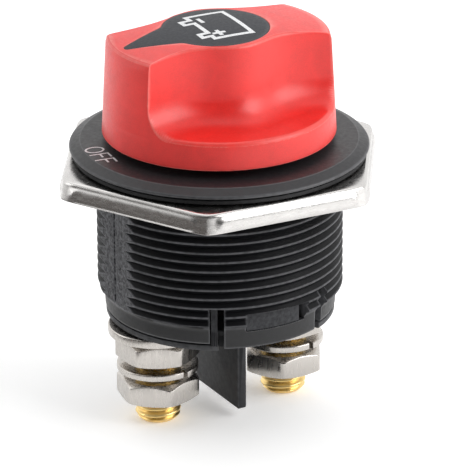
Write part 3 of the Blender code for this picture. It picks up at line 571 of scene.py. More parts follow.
def housing_plastic():
    """Black nylon: paler on the flange than below it, where the barrel's darker colour is painted shade, and
    coarse and grey on the barrel's two flats.
    """
    colour, pale = (0.012, 0.0124, 0.0145), (0.095, 0.096, 0.102)
    made = plastic("black_nylon", colour, 0.46, 3600, 0.014 * MM, pale)
    outward = made.math("ABSOLUTE", made.axis("X"))
    below = made.ramp(made.axis("Z"), -0.3 * MM, 0.1 * MM, 1.0, 0.0)
    above = made.ramp(made.axis("Z"), THREAD_END - 0.5 * MM, THREAD_END, 0.0, 1.0)
    on_thread = made.math("MULTIPLY", below, above)
    made.feed(made.shader.inputs["Specular IOR Level"], made.ramp(on_thread, 0.0, 1.0, 0.5, 0.12))
    on_flat = made.ramp(outward, BARREL_FLAT - 0.25 * MM, BARREL_FLAT - 0.05 * MM, 0.0, 1.0)
    beyond = made.ramp(outward, BARREL_FLAT + 0.01 * MM, BARREL_FLAT + 0.05 * MM, 1.0, 0.0)
    mask = made.math("MULTIPLY", made.math("MULTIPLY", on_flat, beyond), below)
    coarse = made.noise(1500, 4.0, distortion=0.8)
    crumb = made.math("MULTIPLY", made.ramp(coarse, 0.3, 0.72, 0.0, 1.0), mask)
    moulded = made.shader.inputs["Base Color"].links[0].from_socket
    # painted shade: the barrel below the flange gets a darker colour than the flange, and its thread crests
    # are painted pale, partly as worn edges and partly as painted highlights
    dark = made.mix(made.edge(), (0.0048, 0.0050, 0.0060), pale)
    plain = made.mix(below, moulded, dark)
    made.paint(made.mix(made.math("MULTIPLY", crumb, 0.9), plain, (0.145, 0.146, 0.156)))
    made.bump(crumb, 0.06 * MM)
    return made.material


def cover_plastic():
    """Dark nylon, paler in uneven patches from the snap hooks' lower edge upward."""
    pale = (0.095, 0.096, 0.10)
    colour = (0.006, 0.0063, 0.0078)
    made = plastic("grey_nylon", colour, 0.5, 3000, 0.018 * MM, pale, Specular_IOR_Level=0.18)
    moulded = made.shader.inputs["Base Color"].links[0].from_socket
    hook = made.ramp(made.axis("Z"), HOOK[1] - 0.3 * MM, HOOK[1], 0.0, 1.0)
    paler_patches = made.math("MULTIPLY", hook, made.ramp(made.noise(1500, 4.0), 0.3, 0.7, 0.35, 1.0))
    made.paint(made.mix(paler_patches, moulded, (0.048, 0.049, 0.053)))
    return made.material


def rubber():
    colour, pale = (0.009, 0.009, 0.010), (0.016, 0.016, 0.017)
    return plastic("black_rubber", colour, 0.75, 2600, 0.012 * MM, pale).material


def off_white_acetal():
    colour, pale = (0.72, 0.70, 0.64), (0.78, 0.76, 0.71)
    return plastic("off_white_acetal", colour, 0.38, 4200, 0.005 * MM, pale).material


def carrier_nylon():
    colour, pale = (0.11, 0.11, 0.115), (0.17, 0.17, 0.175)
    return plastic("carrier_nylon", colour, 0.5, 3400, 0.012 * MM, pale).material


def label_ink():
    """White pad print, thin enough for the plastic's grain to show through."""
    made = Surface("white_print", 0.5)
    thin = made.ramp(made.noise(4200, 3.0), 0.32, 0.5, 0.0, 1.0)
    made.paint(made.mix(thin, (0.52, 0.53, 0.54), (0.80, 0.81, 0.82)))
    made.rough(made.ramp(made.noise(2100, 2.0), 0.3, 0.7, 0.42, 0.6))
    made.bump(made.noise(5200, 2.0), 0.006 * MM)
    return made.material


def build_surfaces():
    steel = metal("nickel_plate", (0.58, 0.55, 0.515), 0.26, 0.93, (1.0, 1.0, 0.12), 1800, 0.0012 * MM)
    sheet = metal("bright_sheet", (0.62, 0.605, 0.59), 0.24, 0.95, (0.25, 0.25, 1.0), 2200, 0.0007 * MM)
    wire = metal("spring_wire", (0.50, 0.50, 0.49), 0.32, 0.85)
    brass = metal("thread_brass", (0.92, 0.68, 0.28), 0.3, 0.88, (0.3, 0.3, 1.0), 2000, 0.001 * MM)
    copper = metal("copper_strip", (0.84, 0.43, 0.27), 0.3, 0.8, (0.1, 1.0, 1.0), 2800)
    silver = metal("silver_tip", (0.85, 0.84, 0.81), 0.26, 0.85)
    return {
        "knob_plastic": knob_plastic(),
        "badge_plastic": badge_plastic(),
        "housing_plastic": housing_plastic(),
        "cover_plastic": cover_plastic(),
        "carrier_plastic": carrier_nylon(),
        "cam_plastic": off_white_acetal(),
        "rubber": rubber(),
        "label_print": label_ink(),
        "steel": steel.material,
        "bright_steel": sheet.material,
        "spring_steel": wire.material,
        "brass": brass.material,
        "copper": copper.material,
        "silver": silver.material,
    }


# ---------------------------------------------------------------- knob


def crown_height(x, y):
    """The knob's gently domed crown."""
    return CROWN_TOP - CROWN_SAG[0] * x * x - CROWN_SAG[1] * y * y


def crown_over(radii, angles):
    return crown_height(radii * np.cos(angles), radii * np.sin(angles))


def blade_half_width(x):
    """Half the blade's thickness: full in the middle, waisted each side and flared at its ends."""
    bulge = (BLADE_MIDDLE_HALF - BLADE_WAIST_HALF) * np.exp(-((x / BLADE_BULGE) ** 2))
    flare = (BLADE_END_HALF - BLADE_WAIST_HALF) * (x / BLADE_END_X) ** 4
    return BLADE_WAIST_HALF + bulge + flare


def side_radius(z):
    share = (z - KNOB_BASE) / (CROWN_TOP - KNOB_BASE)
    return KNOB_BASE_RADIUS + (KNOB_TOP_RADIUS - KNOB_BASE_RADIUS) * share


def blade_offset(radius, angles):
    """How far a point stands outside the blade's wall."""
    along = np.minimum(np.abs(radius * np.cos(angles)), 20 * MM)
    return radius * np.abs(np.sin(angles)) - blade_half_width(along)


def wall_radius(angles, scoop):
    """Distance from the axis to the blade's wall let out by scoop, along each direction."""
    low, high = np.zeros_like(angles), np.full_like(angles, 60 * MM)
    for _ in range(34):
        middle = 0.5 * (low + high)
        outside = blade_offset(middle, angles) > scoop
        high = np.where(outside, middle, high)
        low = np.where(outside, low, middle)
    return low


def badge_radius(angles):
    """The badge's edge: a disc with a pointer that tapers to the knob's off end."""
    share = np.linspace(0.0, 1.0, 120)
    shoulder, end = np.array(BADGE_SHOULDER), np.array(BADGE_FLANK_END)
    flank_x = shoulder[0] + (end[0] - shoulder[0]) * share
    flank_y = shoulder[1] + (end[1] - shoulder[1]) * share
    tip_turn = np.radians(np.linspace(60, 0, 12))
    flank_x = np.append(flank_x, end[0] + (BADGE_TIP_X - end[0]) * np.cos(tip_turn))
    flank_y = np.append(flank_y, end[1] * np.sin(tip_turn))
    from_tip = np.abs(np.arctan2(flank_y, -flank_x))
    order = np.argsort(from_tip)
    away = np.abs((angles % FULL_TURN) - math.pi)
    pointer = np.interp(away, from_tip[order], np.hypot(flank_x, flank_y)[order], right=0.0)
    disc = BADGE_CENTRE_X * np.cos(angles) + np.sqrt(BADGE_RADIUS**2 - (BADGE_CENTRE_X * np.sin(angles)) ** 2)
    return -soft_minimum(-pointer, -disc, BADGE_FILLET)


def add_knob_inside(add, angles, badge):
    """Rows up the hub's socket, the screw's hole and counterbore, and the badge's recess."""
    square = SOCKET_HALF / np.maximum(np.abs(np.cos(angles)), np.abs(np.sin(angles)))
    add(square, KNOB_BASE)
    add(square, SOCKET_TOP)
    add(SCREW_HOLE, SOCKET_TOP)
    add(SCREW_HOLE, SCREW_SEAT)
    add(SCREW_BORE, SCREW_SEAT)
    add(SCREW_BORE, BADGE_RECESS)
    add(badge, BADGE_RECESS)
    crown = crown_over(badge, angles)
    for out, drop in ((0.0, 1.0), (0.12, 0.5), (0.45, 0.12), (1.0, 0.0)):
        add(badge + out * BADGE_EASE, crown - drop * BADGE_EASE)


def add_knob_blade(add, angles, badge):
    """Rows out over the crown, round its edge and down the blade's walls to the scoops' fillets."""
    straight = wall_radius(angles, 0.0)
    blade = soft_minimum(np.full_like(angles, KNOB_TOP_RADIUS), straight, CORNER_BLEND)
    inner, outer = badge + BADGE_EASE, blade - CROWN_ROUND
    for share in np.linspace(0.0, 1.0, 9)[1:]:
        radius = inner + (outer - inner) * share
        add(radius, crown_over(radius, angles))
    edge_height = crown_over(blade, angles)
    for turn in np.radians(np.linspace(15, 90, 6)):
        add(outer + CROWN_ROUND * np.sin(turn), edge_height - CROWN_ROUND * (1 - np.cos(turn)))
    wall_top = edge_height - CROWN_ROUND
    for share in np.linspace(0.0, 1.0, 13)[1:]:
        height = wall_top + (FILLET_TOP - wall_top) * share
        add(soft_minimum(side_radius(height), straight, CORNER_BLEND), height)


def add_knob_scoops(add, angles):
    """Rows round the scoops' fillets, out along the ledges and over the lip where they meet the side."""
    turns = np.radians(range(5, 91, 5))
    steps = [(turn, SCOOP_FILLET * (1 - math.cos(turn))) for turn in turns]
    steps += [(0.5 * math.pi, SCOOP_FILLET + reach) for reach in np.linspace(0.0, SCOOP_REACH, 53)[1:]]
    for turn, scoop in steps:
        height = FILLET_TOP - SCOOP_FILLET * math.sin(turn)
        side = side_radius(height)
        radius = soft_minimum(side, wall_radius(angles, scoop), CORNER_BLEND)
        past_fillet = np.maximum(blade_offset(radius, angles) - SCOOP_FILLET, 0.0)
        height = height - LEDGE_SLOPE * past_fillet * (scoop > SCOOP_FILLET)
        inside_lip = np.maximum(LIP_ROUND - (side - radius), 0.0)
        lowered = LIP_ROUND - np.sqrt(LIP_ROUND**2 - inside_lip**2)
        add(radius, height - lowered * math.sin(turn) ** 6)


def add_knob_side(add, start):
    """Rows down the side from the heights in start, round its foot and through the hollow inside."""
    base_ease = 0.3 * MM
    for share in np.linspace(0.0, 1.0, 13)[1:]:
        height = start + (KNOB_BASE + base_ease - start) * share
        add(side_radius(height), height)
    for turn in np.radians(np.linspace(22.5, 90, 4)):
        inset = base_ease * (1 - np.cos(turn))
        add(KNOB_BASE_RADIUS - inset, KNOB_BASE + base_ease * (1 - np.sin(turn)))
    add(KNOB_BASE_RADIUS - KNOB_WALL, KNOB_BASE)
    add(KNOB_BASE_RADIUS - KNOB_WALL, KNOB_CEILING)
    add(HUB_RADIUS, KNOB_CEILING)
    add(HUB_RADIUS, KNOB_BASE)


def build_knob(surface):
    angles = circle_angles(1080)
    badge = badge_radius(angles) + BADGE_GAP
    rows, add = row_stack(angles)
    add_knob_inside(add, angles, badge)
    add_knob_blade(add, angles, badge)
    add_knob_scoops(add, angles)
    add_knob_side(add, rows[-1][:, 2])
    rows.append(rows[0])
    mesh = weld("knob_shell", [np.stack(rows)])
    mesh.transform(Matrix.Rotation(KNOB_INDEX, 4, "Z"))
    add_piece("knob_shell", mesh, surface, "knob_body", ["knob"], 42)


def build_badge(surface):
    angles = circle_angles(1080)
    edge = badge_radius(angles)
    crown = crown_over(edge, angles)
    rows, add = row_stack(angles)
    add(0.0, BADGE_BOTTOM)
    add(edge, BADGE_BOTTOM)
    add(edge, crown - BADGE_EASE)
    for turn in np.radians(np.linspace(22.5, 90, 4)):
        add(edge - BADGE_EASE * (1 - np.cos(turn)), crown - BADGE_EASE * (1 - np.sin(turn)))
    for share in np.linspace(1.0, 0.0, 15)[1:]:
        radius = (edge - BADGE_EASE) * share
        add(radius, crown_over(radius, angles))
    mesh = weld("badge_plate", [np.stack(rows)])
    mesh.transform(Matrix.Rotation(KNOB_INDEX, 4, "Z"))
    add_piece("badge_plate", mesh, surface, "knob_body", ["knob_badge"])


def stroke(path, width, height_at, closed=False):
    """A printed line: a flat strip along a path of (x, y) points, mitred at its corners."""
    points = np.array(path, float)
    if closed:
        points = np.vstack((points[-1], points, points[:2]))
    else:
        points = np.vstack((2 * points[0] - points[1], points, 2 * points[-1] - points[-2]))
    rails = [[], []]
    for before, point, after in zip(points, points[1:], points[2:]):
        first, second = point - before, after - point
        first, second = first / np.linalg.norm(first), second / np.linalg.norm(second)
        across = np.array((-(first + second)[1], (first + second)[0]))
        across /= np.linalg.norm(across)
        reach = 0.5 * width / max(abs(np.dot(across, (-second[1], second[0]))), 0.3)
        for rail, side in zip(rails, (-1, 1)):
            rail.append(point + side * reach * across)
    fine = []
    for rail in rails:
        dense = []
        for start, end in zip(rail, rail[1:]):
            dense += [start + (end - start) * k / 6 for k in range(6)]
        fine.append(np.array(dense + [rail[-1]]))
    rows = []
    for rail, lift in ((fine[0], -1.0), (fine[0], 1.0), (fine[1], 1.0), (fine[1], -1.0), (fine[0], -1.0)):
        heights = height_at(rail) + lift * PRINT_HEIGHT
        rows.append(np.column_stack((rail, heights)))
    patches = [np.stack(rows)]
    if not closed:
        for column in (0, -1):
            ring = [row[column] for row in rows[:4]]
            patches.append(np.array(((ring[0], ring[1]), (ring[3], ring[2]))))
    return patches


def ellipse(middle, half_width, half_height, steps=48):
    return [
        (middle[0] + half_width * math.cos(t), middle[1] + half_height * math.sin(t))
        for t in np.linspace(0.0, FULL_TURN, steps, endpoint=False)
    ]


def build_pictogram(surface):
    """A plain battery outline on the badge, with its two poles towards the pointer."""
    line, fine = 0.8 * MM, 0.7 * MM
    low_x, high_x, low_y, high_y = -3.4 * MM, 3.7 * MM, -5.6 * MM, 6.05 * MM
    poles = ((4.2 * MM, 2.45 * MM, -5.2 * MM), (-2.85 * MM, -4.4 * MM, -5.1 * MM))
    minus, plus, reach = (-1.9 * MM, 3.2 * MM), (-1.65 * MM, -3.55 * MM), 1.2 * MM
    outline = [(low_x, high_y)]
    for start, end, tip in poles:
        outline += [(low_x, start), (tip, start), (tip, end), (low_x, end)]
    outline += [(low_x, low_y), (high_x, low_y), (high_x, high_y)]

    def on_crown(points):
        return crown_height(points[:, 0], points[:, 1])

    patches = stroke(outline, line, on_crown, True)
    for x, y in (minus, plus):
        patches += stroke([(x, y - reach), (x, y + reach)], fine, on_crown)
    for side in (-1, 1):
        start = plus[0] + side * 0.5 * fine
        patches += stroke([(start, plus[1]), (plus[0] + side * reach, plus[1])], fine, on_crown)
    mesh = weld("badge_pictogram", patches)
    mesh.transform(Matrix.Rotation(KNOB_INDEX, 4, "Z"))
    add_piece("badge_pictogram", mesh, surface, "knob_body")


# ---------------------------------------------------------------- housing, gasket and labels


def barrel_columns():
    """Directions round the barrel, close together across its two flats."""
    fine = np.arange(-COLUMN_START, COLUMN_START, 0.25)
    coarse = np.arange(COLUMN_START, 180 - COLUMN_START, 1.25)
    half = np.concatenate((fine, coarse))
    around = np.concatenate((half, half + 180, [360 - COLUMN_START]))
    return np.radians(around + COLUMN_START)


def chipped(z):
    """A slow wander from 0 to 1 along the parting line."""
    wave = np.sin(z * 2100) + np.sin(z * 3700 + 1.3) + 0.7 * np.sin(z * 8300 + 0.4)
    return np.clip(0.5 + 0.25 * wave, 0.0, 1.0)


def barrel_radius(angles, z, phase):
    """The thread's ridge, cut back on two sides by the flats and their parting lines."""
    turn = angles - math.radians(COLUMN_START)
    ridge = np.minimum(1.12 * (1 - np.abs(2 * phase - 1)), 1.0)
    fade = smooth_step(z, THREAD_END, THREAD_END + THREAD_FADE)
    fade = fade * smooth_step(-z, -THREAD_TOP, -THREAD_TOP + THREAD_FADE)
    thread = THREAD_ROOT + (THREAD_RADIUS - THREAD_ROOT) * ridge * fade
    flat = BARREL_FLAT / np.maximum(np.abs(np.cos(turn)), 0.1)
    across = BARREL_FLAT * np.tan(turn)
    off_line = np.abs(np.where(np.cos(turn) < 0, -across, across) - PARTING_Y)
    width = PARTING_WIDTH * (0.5 + 0.9 * chipped(z))
    line = smooth_step(-off_line, -width, -0.4 * width)
    ends = smooth_step(z, THREAD_END, THREAD_END + THREAD_FADE)
    ends = ends * smooth_step(-z, -THREAD_TOP, -THREAD_TOP + THREAD_FADE)
    return np.minimum(thread, flat - PARTING_DEPTH * line * ends * (0.5 + 0.5 * chipped(z + 1.0)))


def add_flange(add):
    """Rows round the flange's rim, up its sloped edge and in over its face."""
    shoulder = FLANGE_TOP - FLANGE_CHAMFER_DROP
    rim_ease = 0.25 * MM
    rim = [
        (FLANGE_RADIUS - rim_ease, FLANGE_BOTTOM),
        (FLANGE_RADIUS - 0.3 * rim_ease, FLANGE_BOTTOM + 0.3 * rim_ease),
        (FLANGE_RADIUS, FLANGE_BOTTOM + rim_ease),
        (FLANGE_RADIUS, shoulder - 0.5 * rim_ease),
    ]
    for radius, height in rim:
        add(radius, height)
    slope_start, slope_end = (FLANGE_RADIUS, shoulder), (FLANGE_RADIUS - FLANGE_CHAMFER, FLANGE_TOP)
    for share in np.linspace(0.06, 0.86, 9):
        add(slope_start[0] + (slope_end[0] - slope_start[0]) * share,
            slope_start[1] + (slope_end[1] - slope_start[1]) * share)
    for share in (0.35, 0.7, 1.0):
        slide = 0.28 * MM
        add(slope_end[0] + slide * (0.7 - share), FLANGE_TOP - 0.02 * MM * (1 - share))
    for radius in np.linspace(slope_end[0] - 1.5 * MM, SPINDLE_BORE + 0.3 * MM, 10):
        add(radius, FLANGE_TOP)


def add_cavity(add, bottom):
    """Rows down the spindle's bore, out under the deck and down the inside of the barrel."""
    add(SPINDLE_BORE, FLANGE_TOP - 0.3 * MM)
    add(SPINDLE_BORE, DECK_BOTTOM)
    add(CAVITY_RADIUS - 0.4 * MM, DECK_BOTTOM)
    add(CAVITY_RADIUS, DECK_BOTTOM - 0.4 * MM)
    for share in np.linspace(0.1, 1.0, 10):
        add(CAVITY_RADIUS, DECK_BOTTOM + (bottom + 0.2 * MM - DECK_BOTTOM) * share)


def add_skirt(add, bottom):
    """Rows round the barrel's foot and up the outside of its skirt to the thread."""
    skirt_foot = SKIRT_RADIUS - SKIRT_TAPER
    add(CAVITY_RADIUS + 0.2 * MM, bottom)
    add(skirt_foot - 0.25 * MM, bottom)
    add(skirt_foot - 0.07 * MM, bottom + 0.07 * MM)
    add(skirt_foot, bottom + 0.25 * MM)
    for share in np.linspace(0.15, 1.0, 7):
        add(skirt_foot + SKIRT_TAPER * share, bottom + (THREAD_END - 0.75 * MM - bottom) * share)
    add(SKIRT_RADIUS + 0.05 * MM, THREAD_END - 0.6 * MM)


def tongue_cutters():
    """Blocks that cut the window in each snap tongue and the slots beside it."""
    cutters = []
    through = (CAVITY_RADIUS - MM, SKIRT_RADIUS + 2 * MM)
    for middle in (-90, 90):
        cutters.append(sector(through, (middle + WINDOW[2], middle + WINDOW[3]), WINDOW[0], WINDOW[1]))
        for start, end in TONGUE_SLOTS:
            cutters.append(sector(through, (middle + start, middle + end), TONGUE_BOTTOM - MM, SLOT_TOP, 6))
    return cutters


def stop_peg():
    inner, outer, peg_half, peg_bottom = STOP_PEG
    index = math.degrees(KNOB_INDEX)
    return sector((inner, outer), (index - peg_half, index + peg_half), peg_bottom, DECK_BOTTOM + MM, 6)


def build_housing(surface):
    columns = barrel_columns()
    directions = columns - math.radians(COLUMN_START)
    around = np.ones_like(columns)
    thread = helix(barrel_radius, columns, THREAD_PITCH, 14, THREAD_END, THREAD_TOP)
    top_edge = barrel_radius(columns, THREAD_TOP * around, 0.0 * around)
    low_edge = barrel_radius(columns, THREAD_END * around, 0.0 * around)
    under = np.minimum(THREAD_ROOT, BARREL_FLAT / np.maximum(np.abs(np.cos(directions)), 0.1))
    from_front = np.abs((directions - 0.5 * math.pi) % math.pi)
    from_front = np.minimum(from_front, math.pi - from_front)
    on_tongue = from_front < math.radians(TONGUE_HALF_ANGLE)
    bottom = np.where(on_tongue, TONGUE_BOTTOM, SKIRT_BOTTOM)
    rows, add = row_stack(columns)
    add(top_edge, THREAD_TOP)
    add(np.minimum(under, top_edge), 0.3 * MM)
    add(np.minimum(under, top_edge), FLANGE_BOTTOM)
    add_flange(add)
    add_cavity(add, bottom)
    add_skirt(add, bottom)
    add(low_edge, THREAD_END)
    mesh = weld("housing_shell", [thread, np.stack(rows)])
    mesh.transform(Matrix.Rotation(-math.radians(COLUMN_START), 4, "Z"))
    mesh = cut_and_join(mesh, tongue_cutters(), [stop_peg()])
    add_piece("housing_shell", mesh, surface, "housing_body", ["housing"], 40)


def build_flat_ring(name, node, inner, ease, segments, surface):
    """A flat ring that fills its CAD node's box, with its edges rounded off."""
    low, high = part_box(node)
    centre, outer = (0.5 * (low.x + high.x), 0.0), 0.5 * (high.x - low.x)
    profile = eased([(inner, low.z), (outer, low.z), (outer, high.z), (inner, high.z)], ease)
    mesh = weld(name, [turned(profile, segments, centre)])
    add_piece(name, mesh, surface, "housing_body", [node])


def letter_strokes(letter, left):
    """The lines of a plain capital, with its left edge at left, and the letter's width."""
    top, line = LABEL_HEIGHT - 0.5 * LABEL_LINE, 0.5 * LABEL_LINE
    start = left + line
    if letter == "O":
        width = 2.75 * MM
        half_width, half_height = 0.5 * width, 0.5 * LABEL_HEIGHT
        ring = ellipse((left + half_width, half_height), half_width - line, half_height - line)
        return [(ring, True)], width
    if letter == "F":
        width = 1.95 * MM
        arm = 0.53 * LABEL_HEIGHT
        hook = [(start, 0.0), (start, top), (left + width, top)]
        return [(hook, False), ([(start + line, arm), (left + 0.88 * width, arm)], False)], width
    width = 2.45 * MM
    end = left + width - line
    return [([(start, 0.0), (start, top), (end, line), (end, LABEL_HEIGHT)], False)], width


def build_label(name, letters, azimuth, surface):
    """Letters on the flange that read from outside it, centred on a direction in degrees."""
    lines, cursor = [], 0.0
    for letter in letters:
        strokes, width = letter_strokes(letter, cursor)
        lines += strokes
        cursor += width + LABEL_SPACING
    middle = 0.5 * (cursor - LABEL_SPACING)
    patches = []

    def on_flange(points):
        return np.full(len(points), FLANGE_TOP)

    for path, closed in lines:
        shifted = [(x - middle, y - LABEL_BASELINE) for x, y in path]
        patches += stroke(shifted, LABEL_LINE, on_flange, closed)
    mesh = weld(name, patches)
    mesh.transform(Matrix.Rotation(math.radians(azimuth + 90), 4, "Z"))
    add_piece(name, mesh, surface, "housing_body")


# ---------------------------------------------------------------- panel nut


def add_nut_underside(add, hexagon):
    """Rows round the rim's lower edge, up inside it, in under the sheet and down the collar."""
    flared = hexagon(PANEL_NUT_HALF_FLATS + PANEL_NUT_FLARE)
    for out, drop in ((0.0, 0.06), (-0.04, 0.11), (-0.12, 0.12), (-0.78, 0.12), (-0.9, 0.0)):
        add(flared + out * MM, PANEL_NUT_BOTTOM + (0.12 - drop) * MM)
    inner = hexagon(PANEL_NUT_HALF_FLATS - PANEL_NUT_SHEET)
    under = PANEL_NUT_TOP - PANEL_NUT_SHEET
    add(inner, under - 0.4 * MM)
    add(inner - 0.4 * MM, under)
    collar = PANEL_NUT_BORE + PANEL_NUT_SHEET
    add(collar + 0.3 * MM, under)
    add(collar, under - 0.3 * MM)
    add(collar, PANEL_NUT_BOTTOM)


def build_panel_nut(surface):
    """Sheet steel drawn to a hexagon, its rim turned down and each side swelled between the corners."""
    angles = circle_angles(1080)
    turn = angles - PANEL_NUT_TURN
    within = np.abs((turn + math.pi / 6) % (math.pi / 3) - math.pi / 6)
    along = PANEL_NUT_HALF_FLATS * np.tan(math.pi / 6 - within)
    flat_end = PANEL_NUT_HALF_FLATS * math.tan(math.pi / 6) - 1.3 * MM
    bend_bottom = PANEL_NUT_TOP - PANEL_NUT_BEND
    face_bottom = PANEL_NUT_BOTTOM + 0.12 * MM
    rows, add = row_stack(angles)

    def hexagon(half_flats):
        return hexagon_radius(half_flats, turn, 0.45 * MM)

    def outer_face(share):
        """The rim's outer face from its bend (0) to its lower edge (1)."""
        swell = 1 - (2 * share - 1) ** 4
        ends = smooth_step(-np.abs(along), -flat_end, -flat_end + (1.6 + 1.6 * (2 * share - 1) ** 2) * MM)
        radius = hexagon(PANEL_NUT_HALF_FLATS + PANEL_NUT_FLARE * share)
        add(radius + PANEL_NUT_EMBOSS * swell * ends, bend_bottom + (face_bottom - bend_bottom) * share)

    add(PANEL_NUT_BORE, PANEL_NUT_BOTTOM)
    add(PANEL_NUT_BORE, PANEL_NUT_TOP - 0.25 * MM)
    add(PANEL_NUT_BORE + 0.25 * MM, PANEL_NUT_TOP)
    edge = hexagon(PANEL_NUT_HALF_FLATS) - PANEL_NUT_BEND
    start = PANEL_NUT_BORE + 0.25 * MM
    for share in np.linspace(0.15, 1.0, 8):
        add(start + (edge - start) * share, PANEL_NUT_TOP)
    for bend in np.radians(np.linspace(15, 75, 5)):
        add(edge + PANEL_NUT_BEND * np.sin(bend), PANEL_NUT_TOP - PANEL_NUT_BEND * (1 - np.cos(bend)))
    for share in np.linspace(0.0, 1.0, 19):
        outer_face(share)
    add_nut_underside(add, hexagon)
    rows.append(rows[0])
    mesh = weld("panel_nut_shell", [np.stack(rows)])
    add_piece("panel_nut_shell", mesh, surface, "panel_nut_body", ["panel_nut"], 50)


# ---------------------------------------------------------------- base cover


def cover_floor():
    """The plug that closes the barrel and the rim it stops against."""
    bottom, top = COVER_FLOOR
    rim_radius, rim_top = COVER_RIM
    ease = 0.2 * MM
    profile = [
        (0.0, top),
        (PLUG_RADIUS - ease, top),
        (PLUG_RADIUS, top - ease),
        (PLUG_RADIUS, rim_top),
        (rim_radius - ease, rim_top),
        (rim_radius - 0.3 * ease, rim_top - 0.3 * ease),
        (rim_radius, rim_top - ease),
        (rim_radius, bottom + ease),
        (rim_radius - 0.3 * ease, bottom + 0.3 * ease),
        (rim_radius - ease, bottom),
        (0.0, bottom),
    ]
    radii, heights = zip(*profile)
    return weld("base_cover_shell", [polar(radii, heights, circle_angles(300))])


def cover_details():
    """Notches and stud holes to cut; snap arms, hooks, ribs, guide posts and the fin to join on."""
    bottom, top = COVER_FLOOR
    rim_radius, rim_top = COVER_RIM
    cutters, additions = [], []
    inner, outer, arm_top, arm_half = ARM
    hook_radius, hook_low, hook_high, hook_start, hook_end = HOOK
    rib_inner, rib_outer, rib_start, rib_end = SLOT_RIB
    guide_y, guide_radius, guide_top = GUIDE
    near, far, low_y, high_y, rib_top = RIB
    for side in (-1, 1):
        middle = side * 90
        notch_angles = (middle - NOTCH_HALF_ANGLE, middle + NOTCH_HALF_ANGLE)
        notch = sector((PLUG_RADIUS, rim_radius + MM), notch_angles, bottom - MM, rim_top + MM)
        cutters.append(notch)
        cutters.append(post(STUD_RADIUS + 0.15 * MM, bottom - MM, top + MM, (side * STUD_X, 0.0)))
        additions.append(sector((inner, outer), (middle - arm_half, middle + arm_half), top - MM, arm_top))
        hook_angles = (middle + hook_start, middle + hook_end)
        additions.append(sector((outer - 0.5 * MM, hook_radius), hook_angles, hook_low, hook_high))
        rib_angles = (middle + rib_start, middle + rib_end)
        rib_bottom, slot_rib_top = rim_top - 0.5 * MM, SLOT_TOP - 0.2 * MM
        additions.append(sector((rib_inner, rib_outer), rib_angles, rib_bottom, slot_rib_top, 8))
        additions.append(post(guide_radius, top - MM, guide_top, (0.0, side * guide_y), 0.4 * MM))
        for flank in (-1, 1):
            x_low, x_high = sorted((side * near, side * far))
            y_low, y_high = sorted((flank * low_y, flank * high_y))
            additions.append(block((x_low, y_low, top - 0.5 * MM), (x_high, y_high, rib_top)))
    thickness, fin_half, fin_bottom = FIN
    low, high = (-0.5 * thickness, -fin_half, fin_bottom), (0.5 * thickness, fin_half, bottom + MM)
    additions.append(block(low, high, 0.3 * MM))
    return cutters, additions


def build_base_cover(surface):
    mesh = cut_and_join(cover_floor(), *cover_details())
    add_piece("base_cover_shell", mesh, surface, "housing_body", ["base_cover"], 35)


# ---------------------------------------------------------------- terminals


def build_stud(name, side, surface):
    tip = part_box("terminal_stud_left")[0].z
    head_bottom, head_top, head_half = STUD_HEAD
    angles = circle_angles(120)

    def radius_at(_, z, phase):
        ridge = 0.5 - 0.5 * np.cos(FULL_TURN * phase)
        thread = STUD_ROOT + (STUD_RADIUS - STUD_ROOT) * ridge**0.7
        fade = smooth_step(z, head_bottom - 0.01 * MM, head_bottom - 1.2 * MM)
        chamfer = STUD_RADIUS - STUD_CHAMFER + (z - tip) * STUD_CHAMFER_SLOPE
        return np.minimum(STUD_ROOT + (thread - STUD_ROOT) * fade, chamfer)

    centre = (side * STUD_X, 0.0)
    shank = helix(radius_at, angles, STUD_PITCH, 16, tip, head_bottom, centre)
    square = head_half / np.maximum(np.abs(np.cos(angles)), np.abs(np.sin(angles)))
    square = np.minimum(square, 6.0 * MM)
    around = np.ones_like(angles)
    end_radius = STUD_RADIUS - STUD_CHAMFER
    foot = polar([0.0, 0.5 * end_radius, end_radius], [tip, tip, tip], angles, centre)
    radii = [STUD_ROOT * around, square, square, 0.0 * around]
    heights = [head_bottom * around, head_bottom * around, head_top * around, head_top * around]
    head = polar(radii, heights, angles, centre)
    mesh = weld(name, [shank, foot, head])
    add_piece(name, mesh, surface, "housing_body", [f"terminal_stud_{name.split('_')[-1]}"], 60)


def build_nut(node, surface):
    """A hexagon nut turned down to round washer faces, so that its sides end in arcs."""
    low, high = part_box(node)
    centre = (math.copysign(STUD_X, low.x + high.x), 0.0)
    top, bottom = high.z, low.z
    angles = circle_angles(360)
    around = np.ones_like(angles)
    hexagon = hexagon_radius(NUT_HALF_FLATS, angles - math.radians(NUT_TURN[node]), 0.12 * MM)
    face = 0.94 * NUT_HALF_FLATS
    slope = math.tan(math.radians(30))
    ease = 0.12 * MM
    radii, drops = [NUT_BORE * around, (NUT_BORE + 0.35 * MM) * around], [0.35 * MM * around, 0.0 * around]
    for share in np.linspace(0.2, 1.0, 5):
        radii.append(NUT_BORE + 0.35 * MM + (face - NUT_BORE - 0.35 * MM) * share * around)
        drops.append(0.0 * around)
    for share in np.linspace(0.1, 1.0, 10):
        radius = face + (hexagon - ease - face) * share
        radii.append(radius)
        drops.append((radius - face) * slope)
    for turn in np.radians(np.linspace(30, 90, 3)):
        radii.append(hexagon - ease * (1 - np.sin(turn)))
        drops.append((hexagon - ease - face) * slope + 0.06 * MM * np.sin(turn) + ease * (1 - np.cos(turn)))
    radii, drops = np.array(radii), np.array(drops)
    upper = polar(radii, top - drops, angles, centre)
    lower = polar(radii[::-1], bottom + NUT_DIP_BELOW * drops[::-1], angles, centre)
    bore = polar(radii[:1], top - drops[:1], angles, centre)
    mesh = weld(f"{node}_turned", [np.concatenate((upper, lower, bore))])
    add_piece(f"{node}_turned", mesh, surface, "housing_body", [node], 28)


